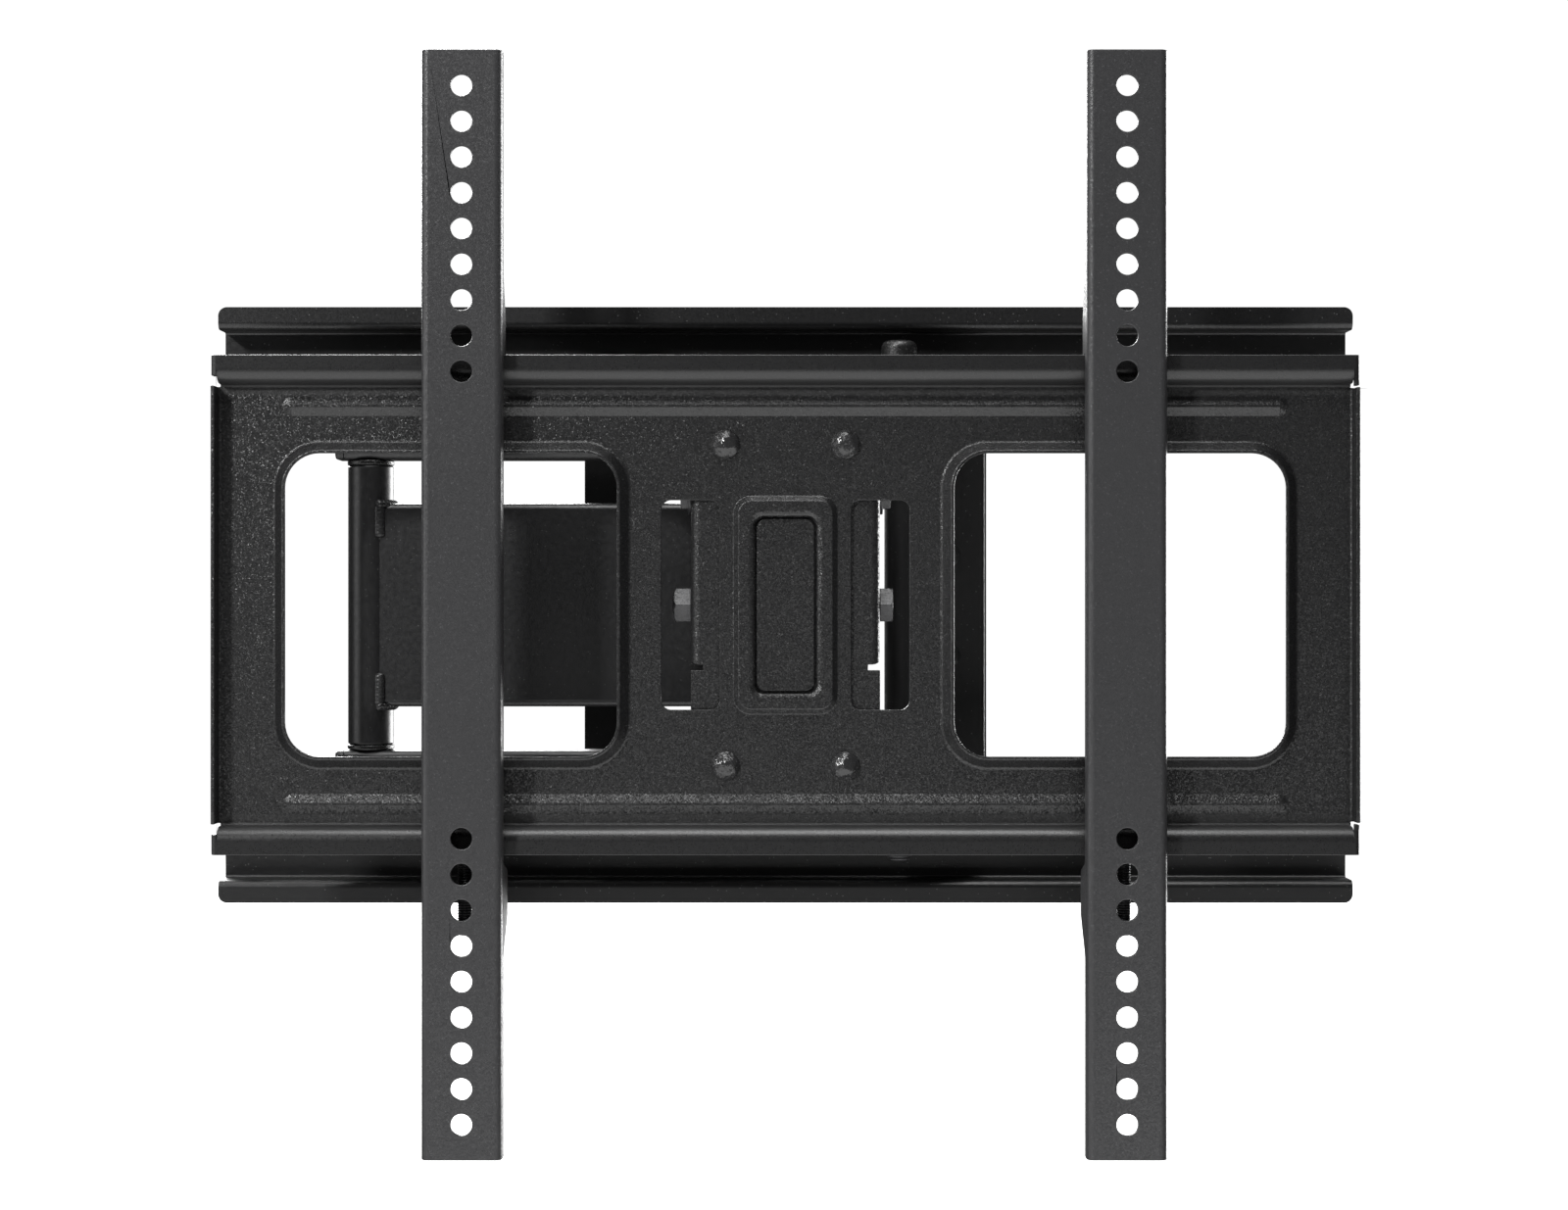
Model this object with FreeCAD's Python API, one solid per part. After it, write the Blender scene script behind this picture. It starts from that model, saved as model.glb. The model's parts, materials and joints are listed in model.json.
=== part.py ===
"""Full-motion display wall mount, folded flat against the wall.

Millimetres. +X is to the right of someone who faces the wall, +Z is up, and the wall is
the plane Y = 0. A depth is a distance in front of the wall, so a depth d lies at Y = -d.
The origin is the centre of the wall bolt pattern.
"""
import FreeCAD, Part
import math
import os

# Sheet stock and clearances
PLATE_T = 2.0
FACE_T = 1.5
BRACKET_T = 3.0
YOKE_T = 2.5
BEND_R = 2.0
RUN_GAP = 0.05
FACE_GAP = 0.2
SLIDE_GAP = 0.3
SEAT_GAP = 0.02
PAST = 1.0
LEAST_CORNER_R = 0.05

# Wall plate: one pressed sheet with an upper rail, a lower rail and two posts
WALL_WIDTH = 463.0
WALL_LIP_TOP = 121.6
WALL_FLANGE_TOP = 114.5
WALL_DEPTH = 18.0
WALL_WEB_LOW = 72.0
WALL_LIP_CORNER_R = 3.6
POST_OUTER_X = 83.0
POST_INNER_X = 52.0
WALL_OPENING_R = 10.0
STUD_SPACING = 406.4
WALL_SLOT_Z = 93.0
WALL_SLOT_LENGTH = 36.0
WALL_SLOT_WIDTH = 9.0
WALL_SLOT_MARGIN = 20.0

# Pivots, all on vertical axes at one depth
PIVOT_DEPTH = 28.0
WALL_PIVOT_X = 46.0
ELBOW_X = -167.7
HEAD_X = 0.0
BARREL_R = 9.15
BUSH_R = 6.1
BUSH_FLANGE_R = 9.35
BUSH_FLANGE_T = 1.9
BUSH_LENGTH = 16.0
HEAD_BUSH_FLANGE_T = 1.3
SLEEVE_R = 6.0

# Bolts, nuts, washers and rivets
BOLT_R = 4.0
BOLT_HEAD_R = 7.0
BOLT_HEAD_HEIGHT = 4.6
WALL_BOLT_HEAD_R = 5.9
WALL_BOLT_HEAD_HEIGHT = 5.0
BOLT_OVERHANG = 2.0
NUT_FLATS = 13.0
NUT_HEIGHT = 8.0
NUT_COLLAR_R = 5.2
SWIVEL_NUT_HEIGHT = 7.0
AXLE_HEAD_HEIGHT = 5.0
AXLE_NUT_HEIGHT = 6.5
AXLE_OVERHANG = 1.0
ELBOW_WASHER_R = 8.5
ELBOW_WASHER_T = 1.6
LOCK_BOLT_R = 3.0
LOCK_WASHER_R = 7.2
LOCK_WASHER_T = 1.2
LOCK_HEAD_FLATS = 10.0
LOCK_HEAD_HEIGHT = 3.0
WELD_NUT_R = 5.0
WELD_NUT_T = 5.0
RIVET_SHANK_R = 3.0
WALL_RIVET_HEAD_R = 5.3
WALL_RIVET_HEAD_HEIGHT = 2.6
FACE_RIVET_HEAD_R = 5.85
FACE_RIVET_HEAD_HEIGHT = 3.4
FACE_RIVET_TAIL_R = 4.6
FACE_RIVET_TAIL_HEIGHT = 2.0

# Rear arm: an upper and a lower rectangular tube
REAR_TUBE_LOW = 58.5
REAR_TUBE_HEIGHT = 30.0
REAR_TUBE_THICK = 18.0
REAR_TUBE_PAST_PIVOT = 11.0
REAR_TUBE_PAST_ELBOW = 9.8
TUBE_WALL = 2.0
TUBE_CORNER_R = 3.0
CAP_FLANGE = 3.5
CAP_PLUG = 9.0

# Front arm: one tall tube between two barrels
FRONT_ARM_HALF_HEIGHT = 40.9
FRONT_ARM_THICK = 16.0
ELBOW_BARREL_HALF_HEIGHT = REAR_TUBE_LOW - FACE_GAP - BUSH_FLANGE_T
HEAD_BARREL_HALF_HEIGHT = FRONT_ARM_HALF_HEIGHT

# Wall pivot bracket
BRACKET_RIGHT_X = 82.0
EAR_R = 11.0
PIVOT_CAP_R = 7.25
PIVOT_CAP_TOP = 106.9
PIVOT_CAP_EDGE_R = 3.0

# Swivel yoke: ears above and below the head barrel, cheeks that carry the tilt axle
YOKE_REACH = 12.0
YOKE_HALF_WIDTH = 34.2
YOKE_CHEEK_REACH = 5.0
YOKE_CHEEK_TOP = 50.5
YOKE_CHEEK_LOW = -13.0
YOKE_BEND_R = 2.25

# Tilt axis in front of the yoke's web, and the lock bolts in their arc slots
TILT_REACH = 16.0
LOCK_SET_BACK = 2.0
LOCK_Z = 43.0
LOCK_SLOT_GAP = 0.3
TILT_BACK_DEG = 5.0
TILT_FORWARD_DEG = 10.0

# Faceplate: web, shelf along the upper and lower edge, upright lip, forward side flanges
FACE_REACH = 13.0
FACE_HALF_WIDTH = 222.8
FACE_FLANGE_DEPTH = 8.0
FLANGE_END_GAP_LEFT = 0.9
FLANGE_END_GAP_RIGHT = 1.5
SHELF_LOW = 86.0
SHELF_BEND_R = 6.0
LIP_RISE = 11.0
END_FOLD_R = 2.2
END_FOLD_DEPTH = 6.5
END_TAB_RISE_LEFT = 3.0
END_TAB_DROP_RIGHT = 0.7
END_RELIEF_WIDTH = 2.4
END_RELIEF_RISE = 3.4

# Faceplate windows, ribs and rims
WINDOW_INNER_X = 65.6
WINDOW_SIDE_MARGIN = 28.2
WINDOW_TOP_MARGIN = 27.0
WINDOW_R = 13.4
RIM_WIDTH = 4.6
RIM_HEIGHT = 4.5
RIM_SLOPE = 3.4
RIM_BASE_R = 1.8
RIM_CREST_R = 0.8
SLIT_INNER_MARGIN = 5.4
SLIT_OUTER_MARGIN = 12.6
SLIT_TOP_MARGIN = 1.7
SLIT_R = 3.8
RIB_END_MARGIN = 26.3
RIB_DROP = 8.4
RIB_HALF_HEIGHT = 3.85
RIB_HEIGHT = 1.5
RIB_SLOPE = 3.35
PAD_HALF_WIDTH = 20.3
PAD_TOP = 42.6
PAD_R = 7.0
PAD_HEIGHT = 2.2
PAD_SLOPE = 2.0
PAD_EDGE_R = 0.8
PORT_MARGIN = 7.9
PORT_R = 4.0
PORT_DISH_WIDTH = 2.3
PORT_DISH_DEPTH = 1.2

# Tilt bracket riveted behind the faceplate
TILT_BRACKET_HALF_WIDTH = 37.0
TILT_BRACKET_TOP_MARGIN = 14.0
TILT_EAR_REACH = 10.0
TILT_EAR_EDGE = 2.6
TILT_EAR_LOW = -24.0
TILT_EAR_RISE = 15.0
BOSS_MARGIN = 0.5
BOSS_HEIGHT = 0.8
FACE_RIVET_X = 23.4
FACE_RIVET_TOP_MARGIN = 9.2

# Display rails
RAIL_X = {"left": -124.7, "right": 131.5}
RAIL_END_MARGIN = 13.8
RAIL_WIDTH = 31.2
RAIL_FLANGE = 8.0
RAIL_HOLE_R = 4.13
RAIL_HOLE_SPAN = 400.0
RAIL_HOLE_PITCH = 13.76
RAIL_HOLE_LOWEST = 89.0
HOOK_WIDTH = 6.0
HOOK_RISE = 5.0
HOOK_CORNER_R = 3.5
HOOK_SHOULDER_RISE = 15.0
HOOK_TAPER = 16.0
LOCK_TAB_DROP = 15.0
LOCK_TAB_SET_BACK = 6.2
LOCK_SCREW_R = 3.0
LOCK_SCREW_DROP = 12.0
LOCK_SCREW_HEAD_R = 5.2
LOCK_SCREW_HEAD_HEIGHT = 4.5

# Values that follow from the ones above
REAR_TUBE_TOP = REAR_TUBE_LOW + REAR_TUBE_HEIGHT
EAR_INNER_Z = REAR_TUBE_TOP + BUSH_FLANGE_T + FACE_GAP
YOKE_EAR_INNER_Z = HEAD_BARREL_HALF_HEIGHT + HEAD_BUSH_FLANGE_T + FACE_GAP
YOKE_HALF_HEIGHT = YOKE_EAR_INNER_Z + YOKE_T
YOKE_WEB_DEPTH = PIVOT_DEPTH + YOKE_REACH
TILT_DEPTH = YOKE_WEB_DEPTH + TILT_REACH
LOCK_DEPTH = TILT_DEPTH - LOCK_SET_BACK
YOKE_CHEEK_FRONT = TILT_DEPTH + YOKE_CHEEK_REACH
TILT_EAR_BACK = TILT_DEPTH - TILT_EAR_REACH
FACE_BACK = TILT_DEPTH + FACE_REACH
FACE_FRONT = FACE_BACK + FACE_T
LIP_FRONT = FACE_FRONT + FACE_FLANGE_DEPTH
LIP_BACK = LIP_FRONT - FACE_T
LIP_END_X = FACE_HALF_WIDTH - END_FOLD_R
LIP_TOP = SHELF_LOW + LIP_RISE
FACE_FLANGE_TOP_LEFT = SHELF_LOW - FLANGE_END_GAP_LEFT
FACE_FLANGE_TOP_RIGHT = SHELF_LOW - FLANGE_END_GAP_RIGHT
END_TAB_LOW_LEFT = SHELF_LOW + END_TAB_RISE_LEFT
END_TAB_LOW_RIGHT = SHELF_LOW - END_TAB_DROP_RIGHT
END_RELIEF_X = FACE_HALF_WIDTH - END_RELIEF_WIDTH
END_RELIEF_TOP = SHELF_LOW + END_RELIEF_RISE
WINDOW_OUTER_X = FACE_HALF_WIDTH - WINDOW_SIDE_MARGIN
WINDOW_TOP = SHELF_LOW - WINDOW_TOP_MARGIN
SLIT_INNER_X = PAD_HALF_WIDTH + SLIT_INNER_MARGIN
SLIT_OUTER_X = WINDOW_INNER_X - RIM_WIDTH - SLIT_OUTER_MARGIN
SLIT_TOP = PAD_TOP - SLIT_TOP_MARGIN
RIB_HALF_LENGTH = FACE_HALF_WIDTH - RIB_END_MARGIN
RIB_Z = SHELF_LOW - RIB_DROP
PORT_HALF_WIDTH = PAD_HALF_WIDTH - PORT_MARGIN
PORT_TOP = PAD_TOP - PORT_MARGIN
TILT_BRACKET_HALF_HEIGHT = SHELF_LOW - TILT_BRACKET_TOP_MARGIN
FACE_RIVET_Z = TILT_BRACKET_HALF_HEIGHT - FACE_RIVET_TOP_MARGIN
RAIL_HALF_LENGTH = RAIL_HOLE_SPAN / 2 + RAIL_END_MARGIN
RAIL_BACK = LIP_FRONT + SLIDE_GAP * 2
RAIL_FRONT = RAIL_BACK + RAIL_FLANGE
LOCK_TAB_BACK = FACE_BACK - LOCK_TAB_SET_BACK
HOOK_LOW = SHELF_LOW + HOOK_RISE
HOOK_SHOULDER = LIP_TOP + HOOK_SHOULDER_RISE
HOOK_TAPER_END = HOOK_SHOULDER + HOOK_TAPER
LOCK_TAB_Z = -LIP_TOP - LOCK_TAB_DROP
LOCK_SCREW_TIP = -SHELF_LOW - HOOK_RISE


def point(x, depth, z):
    """A point given by its depth in front of the wall."""
    return FreeCAD.Vector(x, -depth, z)


def along(axis):
    """The unit vector of a named axis."""
    return {"x": FreeCAD.Vector(1, 0, 0), "y": FreeCAD.Vector(0, 1, 0), "z": FreeCAD.Vector(0, 0, 1)}[axis]


def mirrored(shape, axis):
    """The shape's mirror image through the origin plane across an axis."""
    return shape.mirror(FreeCAD.Vector(0, 0, 0), along(axis))


def fused(shapes):
    """One solid from overlapping or touching shapes, without seam edges."""
    result = shapes[0].fuse(list(shapes[1:])) if len(shapes) > 1 else shapes[0]
    return result.removeSplitter()


def cylinder(radius, start, end, x, depth):
    """An upright cylinder between two heights."""
    return Part.makeCylinder(radius, end - start, point(x, depth, start), along("z"))


def cross_cylinder(radius, x_start, x_end, depth, z):
    """A cylinder that lies along X."""
    return Part.makeCylinder(radius, x_end - x_start, point(x_start, depth, z), along("x"))


def bore_y(radius, depth_back, depth_front, x, z):
    """A cylinder that lies along Y between two depths."""
    return Part.makeCylinder(radius, depth_front - depth_back, point(x, depth_front, z), along("y"))


def block(x_range, depth_range, z_range):
    """A box between two values on each axis."""
    size = (x_range[1] - x_range[0], depth_range[1] - depth_range[0], z_range[1] - z_range[0])
    return Part.makeBox(*size, point(x_range[0], depth_range[1], z_range[0]))


def corner_arc(before, corner, after, radius):
    """Where a rounded corner starts and ends, its centre, and 1 for a left turn or -1, in 2D."""
    into = (corner - before).normalize()
    out = (after - corner).normalize()
    turn = math.acos(max(-1.0, min(1.0, into.dot(out))))
    side = 1.0 if into.x * out.y - into.y * out.x > 0 else -1.0
    reach = radius * math.tan(turn / 2)
    start = corner - into * reach
    centre = start + FreeCAD.Vector(-into.y, into.x, 0) * side * radius
    return start, corner + out * reach, centre, side


def sheet_side(path, radii, offset):
    """One side of a bent strip in 2D: a list of point runs, one point or the three of an arc."""
    runs = []
    last = len(path) - 1
    for index, corner in enumerate(path):
        if index in (0, last):
            other = path[1] if index == 0 else path[-2]
            heading = (other - corner if index == 0 else corner - other).normalize()
            runs.append([corner + FreeCAD.Vector(-heading.y, heading.x, 0) * offset])
            continue
        radius = radii[index - 1]
        start, end, centre, side = corner_arc(path[index - 1], corner, path[index + 1], radius)
        reach = radius - side * offset
        runs.append([centre + (p - centre).normalize() * reach for p in (start, corner, end)])
    return runs


def edges_through(runs):
    """Lines and arcs through runs of points, in order."""
    edges = []
    last = None
    for run in runs:
        if last is not None and (run[0] - last).Length > 1e-6:
            edges.append(Part.LineSegment(last, run[0]).toShape())
        if len(run) == 3:
            edges.append(Part.Arc(*run).toShape())
        last = run[-1]
    return edges


def bent_sheet(path, radii, thickness, plane, start, length):
    """A strip of sheet bent along a centreline and extruded across it.

    path holds (depth, height) pairs for plane "dz", which is extruded along X, or
    (x, depth) pairs for plane "xd", which is extruded along Z.
    """
    corners = [FreeCAD.Vector(first, second, 0) for first, second in path]
    left = sheet_side(corners, radii, thickness / 2)
    right = [run[::-1] for run in sheet_side(corners, radii, -thickness / 2)[::-1]]
    runs = left + right + [left[0]]
    if plane == "dz":
        placed = [[point(start, p.x, p.y) for p in run] for run in runs]
        direction = along("x")
    else:
        placed = [[point(p.x, p.y, start) for p in run] for run in runs]
        direction = along("z")
    return outward(Part.Face(Part.Wire(edges_through(placed))).extrude(direction * length))


def outward(solid):
    """The same solid with its faces pointing outwards."""
    return solid if solid.Volume > 0 else solid.reversed()


def rounded_polygon(corners, radii, place):
    """A closed wire through 2D corners, each rounded by its own radius, mapped by place."""
    points = [FreeCAD.Vector(a, b, 0) for a, b in corners]
    runs = []
    count = len(points)
    for index, corner in enumerate(points):
        if radii[index] <= 0:
            runs.append([corner])
            continue
        start, end, centre, _ = corner_arc(points[index - 1], corner, points[(index + 1) % count], radii[index])
        middle = centre + (corner - centre).normalize() * radii[index]
        runs.append([start, middle, end])
    runs.append([runs[0][0]])
    return Part.Wire(edges_through([[place(p) for p in run] for run in runs]))


def front_outline(x_range, z_range, radius, depth):
    """A rounded rectangle that faces the viewer, at one depth."""
    corners = [(x_range[0], z_range[0]), (x_range[1], z_range[0]), (x_range[1], z_range[1]), (x_range[0], z_range[1])]
    return rounded_polygon(corners, [radius] * 4, lambda p: point(p.x, depth, p.y))


def front_polygon(corners, depth_range):
    """A polygon that faces the viewer, of (x, height) corners, extruded between two depths."""
    wire = rounded_polygon(corners, [0] * len(corners), lambda p: point(p.x, depth_range[0], p.y))
    return outward(Part.Face(wire).extrude(along("y") * (depth_range[0] - depth_range[1])))


def front_prism(x_range, z_range, radius, depth_range):
    """A rounded rectangle extruded between two depths."""
    wire = front_outline(x_range, z_range, radius, depth_range[0])
    return outward(Part.Face(wire).extrude(along("y") * (depth_range[0] - depth_range[1])))


def front_frustum(x_range, z_range, radius, depth_range, slope):
    """A rounded rectangle that narrows by a slope on every side from one depth to the next."""
    base = front_outline(x_range, z_range, radius, depth_range[0])
    narrow = (x_range[0] + slope, x_range[1] - slope)
    low = (z_range[0] + slope, z_range[1] - slope)
    top = front_outline(narrow, low, max(radius - slope, LEAST_CORNER_R), depth_range[1])
    return outward(Part.makeLoft([base, top], True, True))


def plan_prism(corners, radii, z_range):
    """A polygon in plan, of (x, depth) corners, extruded between two heights."""
    wire = rounded_polygon(corners, radii, lambda p: point(p.x, p.y, z_range[0]))
    return outward(Part.Face(wire).extrude(along("z") * (z_range[1] - z_range[0])))


def side_prism(corners, radii, x_range):
    """A polygon seen from the side, of (depth, height) corners, extruded along X."""
    wire = rounded_polygon(corners, radii, lambda p: point(x_range[0], p.x, p.y))
    return outward(Part.Face(wire).extrude(along("x") * (x_range[1] - x_range[0])))


def slot_prism(length, width, x, z, depth_range):
    """A round-ended slot along X through a sheet."""
    ends = [bore_y(width / 2, *depth_range, x + side * (length - width) / 2, z) for side in (-1, 1)]
    middle = block((x - (length - width) / 2, x + (length - width) / 2), depth_range, (z - width / 2, z + width / 2))
    return fused([middle] + ends)


def hex_prism(across_flats, height, base, direction):
    """A hexagon prism on a base point, like a nut without its hole."""
    radius = across_flats / math.sqrt(3)
    first = direction.cross(along("x"))
    if first.Length < 0.5:
        first = direction.cross(along("z"))
    first.normalize()
    second = direction.cross(first)
    turns = [i * math.pi / 3 for i in range(6)]
    corners = [base + first * radius * math.cos(a) + second * radius * math.sin(a) for a in turns]
    solid = outward(Part.Face(Part.makePolygon(corners + [corners[0]])).extrude(direction * height))
    trim = Part.makeCone(radius * 0.9 + height, radius * 0.9, height, base, direction)
    return solid.common(trim)


def ring(inner, outer, height, base, direction):
    """A washer on a base point."""
    return Part.makeCylinder(outer, height, base, direction).cut(
        Part.makeCylinder(inner, height, base, direction))


def button_head(radius, height, base, direction):
    """A low domed bolt head on a base point."""
    head = Part.makeCylinder(radius, height, base, direction)
    rim = [e for e in head.Edges if len(e.Vertexes) == 1 and (e.CenterOfMass - base).dot(direction) > height / 2]
    return head.makeFillet(min(height, radius) * 0.7, rim)


def dome(radius, height, base, direction):
    """A spherical cap on a base point, as a rivet's head has."""
    sphere_r = (radius * radius + height * height) / (2 * height)
    ball = Part.makeSphere(sphere_r, base + direction * (height - sphere_r))
    return ball.common(Part.makeCylinder(radius * 1.5, height * 1.5, base, direction))


def rectangular_tube(x_range, depth_range, z_range, corner_r, wall):
    """A rounded rectangular tube along X, hollow right through."""
    def bar(inset, extra):
        low_depth, high_depth = depth_range[0] + inset, depth_range[1] - inset
        low, high = z_range[0] + inset, z_range[1] - inset
        corners = [(low_depth, low), (high_depth, low), (high_depth, high), (low_depth, high)]
        radius = max(corner_r - inset, 0.3)
        return side_prism(corners, [radius] * 4, (x_range[0] - extra, x_range[1] + extra))
    return bar(0.0, 0.0).cut(bar(wall, 1.0))


def wall_plate():
    """The pressed plate that bolts to the wall: two flanged rails and two posts."""
    half = WALL_WIDTH / 2
    middle = PLATE_T / 2
    flange_z = WALL_FLANGE_TOP - PLATE_T / 2
    lip_depth = WALL_DEPTH - PLATE_T / 2
    path = [(middle, WALL_WEB_LOW), (middle, flange_z), (lip_depth, flange_z), (lip_depth, WALL_LIP_TOP)]
    rail = bent_sheet(path, [BEND_R, BEND_R], PLATE_T, "dz", -half, WALL_WIDTH)
    trim = front_prism((-half, half), (0, WALL_LIP_TOP), WALL_LIP_CORNER_R, (lip_depth - PLATE_T, WALL_DEPTH + 1))
    keep = block((-half, half), (-1, lip_depth - PLATE_T), (0, WALL_LIP_TOP + 1))
    rail = rail.common(trim.fuse(keep))
    web = front_prism((-half, half), (-WALL_WEB_LOW - 20, WALL_WEB_LOW + 20), 1.0, (0, PLATE_T))
    tall = (-WALL_WEB_LOW, WALL_WEB_LOW)
    centre = front_prism((-POST_INNER_X, POST_INNER_X), tall, WALL_OPENING_R, (-1, PLATE_T + 1))
    side = front_prism((POST_OUTER_X, half * 2), tall, WALL_OPENING_R, (-1, PLATE_T + 1))
    plate = fused([rail, mirrored(rail, "z"), web.cut(centre).cut(side).cut(mirrored(side, "x"))])
    for x in wall_slot_places():
        for z in (-WALL_SLOT_Z, WALL_SLOT_Z):
            plate = plate.cut(slot_prism(WALL_SLOT_LENGTH, WALL_SLOT_WIDTH, x, z, (-PAST, PLATE_T + PAST)))
    for z in bracket_rivet_heights():
        plate = plate.cut(bore_y(RIVET_SHANK_R, -PAST, PLATE_T + PAST, bracket_rivet_x(), z))
    return plate


def wall_slot_places():
    """Where along a rail the wall slots stand: a quarter of the stud spacing apart."""
    pitch = STUD_SPACING / 4
    count = int((WALL_WIDTH / 2 - WALL_SLOT_MARGIN) / pitch)
    return [i * pitch for i in range(-count, count + 1)]


def bracket_rivet_x():
    """The column of rivets that hold the pivot bracket to the right post."""
    return (POST_INNER_X + BRACKET_RIGHT_X) / 2


def bracket_rivet_heights():
    """Rivet heights on the pivot bracket, clear of the rear tubes' bolts."""
    reach = WALL_WEB_LOW - WALL_OPENING_R
    return (-reach, -reach / 3, reach / 3, reach)


def wall_pivot_bracket():
    """A folded bracket on the right post, with an ear above and below the rear arm."""
    middle = PLATE_T + BRACKET_T / 2
    ear_z = EAR_INNER_Z + BRACKET_T / 2
    reach = PIVOT_DEPTH + EAR_R
    path = [(reach, -ear_z), (middle, -ear_z), (middle, ear_z), (reach, ear_z)]
    left = WALL_PIVOT_X - EAR_R
    sheet = bent_sheet(path, [BEND_R + 0.5] * 2, BRACKET_T, "dz", left, BRACKET_RIGHT_X - left)
    right = BRACKET_RIGHT_X
    plan = [(POST_INNER_X, PLATE_T), (right, PLATE_T), (right, PLATE_T + 9), (WALL_PIVOT_X + EAR_R, reach),
            (left, reach), (left, PIVOT_DEPTH - 6), (POST_INNER_X, PLATE_T + 9)]
    shape = plan_prism(plan, [0, 0, 4, EAR_R - 1, EAR_R - 1, 4, 4], (-ear_z - BRACKET_T, ear_z + BRACKET_T))
    bracket = sheet.common(shape)
    bracket = bracket.cut(cylinder(BOLT_R + RUN_GAP, -ear_z - 5, ear_z + 5, WALL_PIVOT_X, PIVOT_DEPTH))
    for z in bracket_rivet_heights():
        bracket = bracket.cut(bore_y(RIVET_SHANK_R, 0, PLATE_T + BRACKET_T + PAST, bracket_rivet_x(), z))
    return bracket.removeSplitter()


def bracket_rivets():
    """Four rivets through the pivot bracket and the wall plate, flush at the wall."""
    front = PLATE_T + BRACKET_T
    pieces = []
    for z in bracket_rivet_heights():
        shank = bore_y(RIVET_SHANK_R, 0, front, bracket_rivet_x(), z)
        head = dome(WALL_RIVET_HEAD_R, WALL_RIVET_HEAD_HEIGHT, point(bracket_rivet_x(), front, z), -along("y"))
        pieces.append(shank.fuse(head).removeSplitter())
    return Part.Compound(pieces)


def pivot_bolt(x, depth, top, bottom, head_r, head_height):
    """An upright pivot bolt with a low round head."""
    shank = cylinder(BOLT_R, bottom, top, x, depth)
    return fused([shank, button_head(head_r, head_height, point(x, depth, top), along("z"))])


def lock_nut(x, depth, top, height):
    """A nut under an upright bolt, its collar rounded."""
    nut = hex_prism(NUT_FLATS, height * 0.75, point(x, depth, top), -along("z"))
    collar = cylinder(NUT_COLLAR_R, top - height, top - height * 0.5, x, depth)
    return fused([nut, collar]).cut(cylinder(BOLT_R, top - height - PAST, top + PAST, x, depth))


def wall_pivot_bolt():
    """The bolt that the rear arm swings on, through both ears."""
    ear_out = EAR_INNER_Z + BRACKET_T
    bottom = -ear_out - NUT_HEIGHT - BOLT_OVERHANG
    return pivot_bolt(WALL_PIVOT_X, PIVOT_DEPTH, ear_out, bottom, WALL_BOLT_HEAD_R, WALL_BOLT_HEAD_HEIGHT)


def wall_pivot_nut():
    """The locking nut under the lower ear."""
    return lock_nut(WALL_PIVOT_X, PIVOT_DEPTH, -EAR_INNER_Z - BRACKET_T, NUT_HEIGHT)


def wall_pivot_cap():
    """The domed cap over the pivot bolt's head."""
    base = EAR_INNER_Z + BRACKET_T
    height = PIVOT_CAP_TOP - base
    cap = cylinder(PIVOT_CAP_R, base, PIVOT_CAP_TOP, WALL_PIVOT_X, PIVOT_DEPTH)
    rim = [e for e in cap.Edges if len(e.Vertexes) == 1 and e.CenterOfMass.z > base + height / 2]
    cap = cap.makeFillet(PIVOT_CAP_EDGE_R, rim)
    seat_top = base + WALL_BOLT_HEAD_HEIGHT + SEAT_GAP
    return cap.cut(cylinder(WALL_BOLT_HEAD_R + SEAT_GAP, base, seat_top, WALL_PIVOT_X, PIVOT_DEPTH))


def rear_tube(side):
    """The rear arm's upper (side 1) or lower (side -1) tube, with its bolt holes."""
    ends = (ELBOW_X - REAR_TUBE_PAST_ELBOW, WALL_PIVOT_X + REAR_TUBE_PAST_PIVOT)
    half = REAR_TUBE_THICK / 2
    depths = (PIVOT_DEPTH - half, PIVOT_DEPTH + half)
    tube = rectangular_tube(ends, depths, (REAR_TUBE_LOW, REAR_TUBE_TOP), TUBE_CORNER_R, TUBE_WALL)
    tube = tube.cut(cylinder(BOLT_R + RUN_GAP, REAR_TUBE_LOW - 1, REAR_TUBE_TOP + 1, WALL_PIVOT_X, PIVOT_DEPTH))
    tube = tube.cut(cylinder(BOLT_R, REAR_TUBE_LOW - 1, REAR_TUBE_TOP + 1, ELBOW_X, PIVOT_DEPTH))
    return tube if side > 0 else mirrored(tube, "z")


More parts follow.
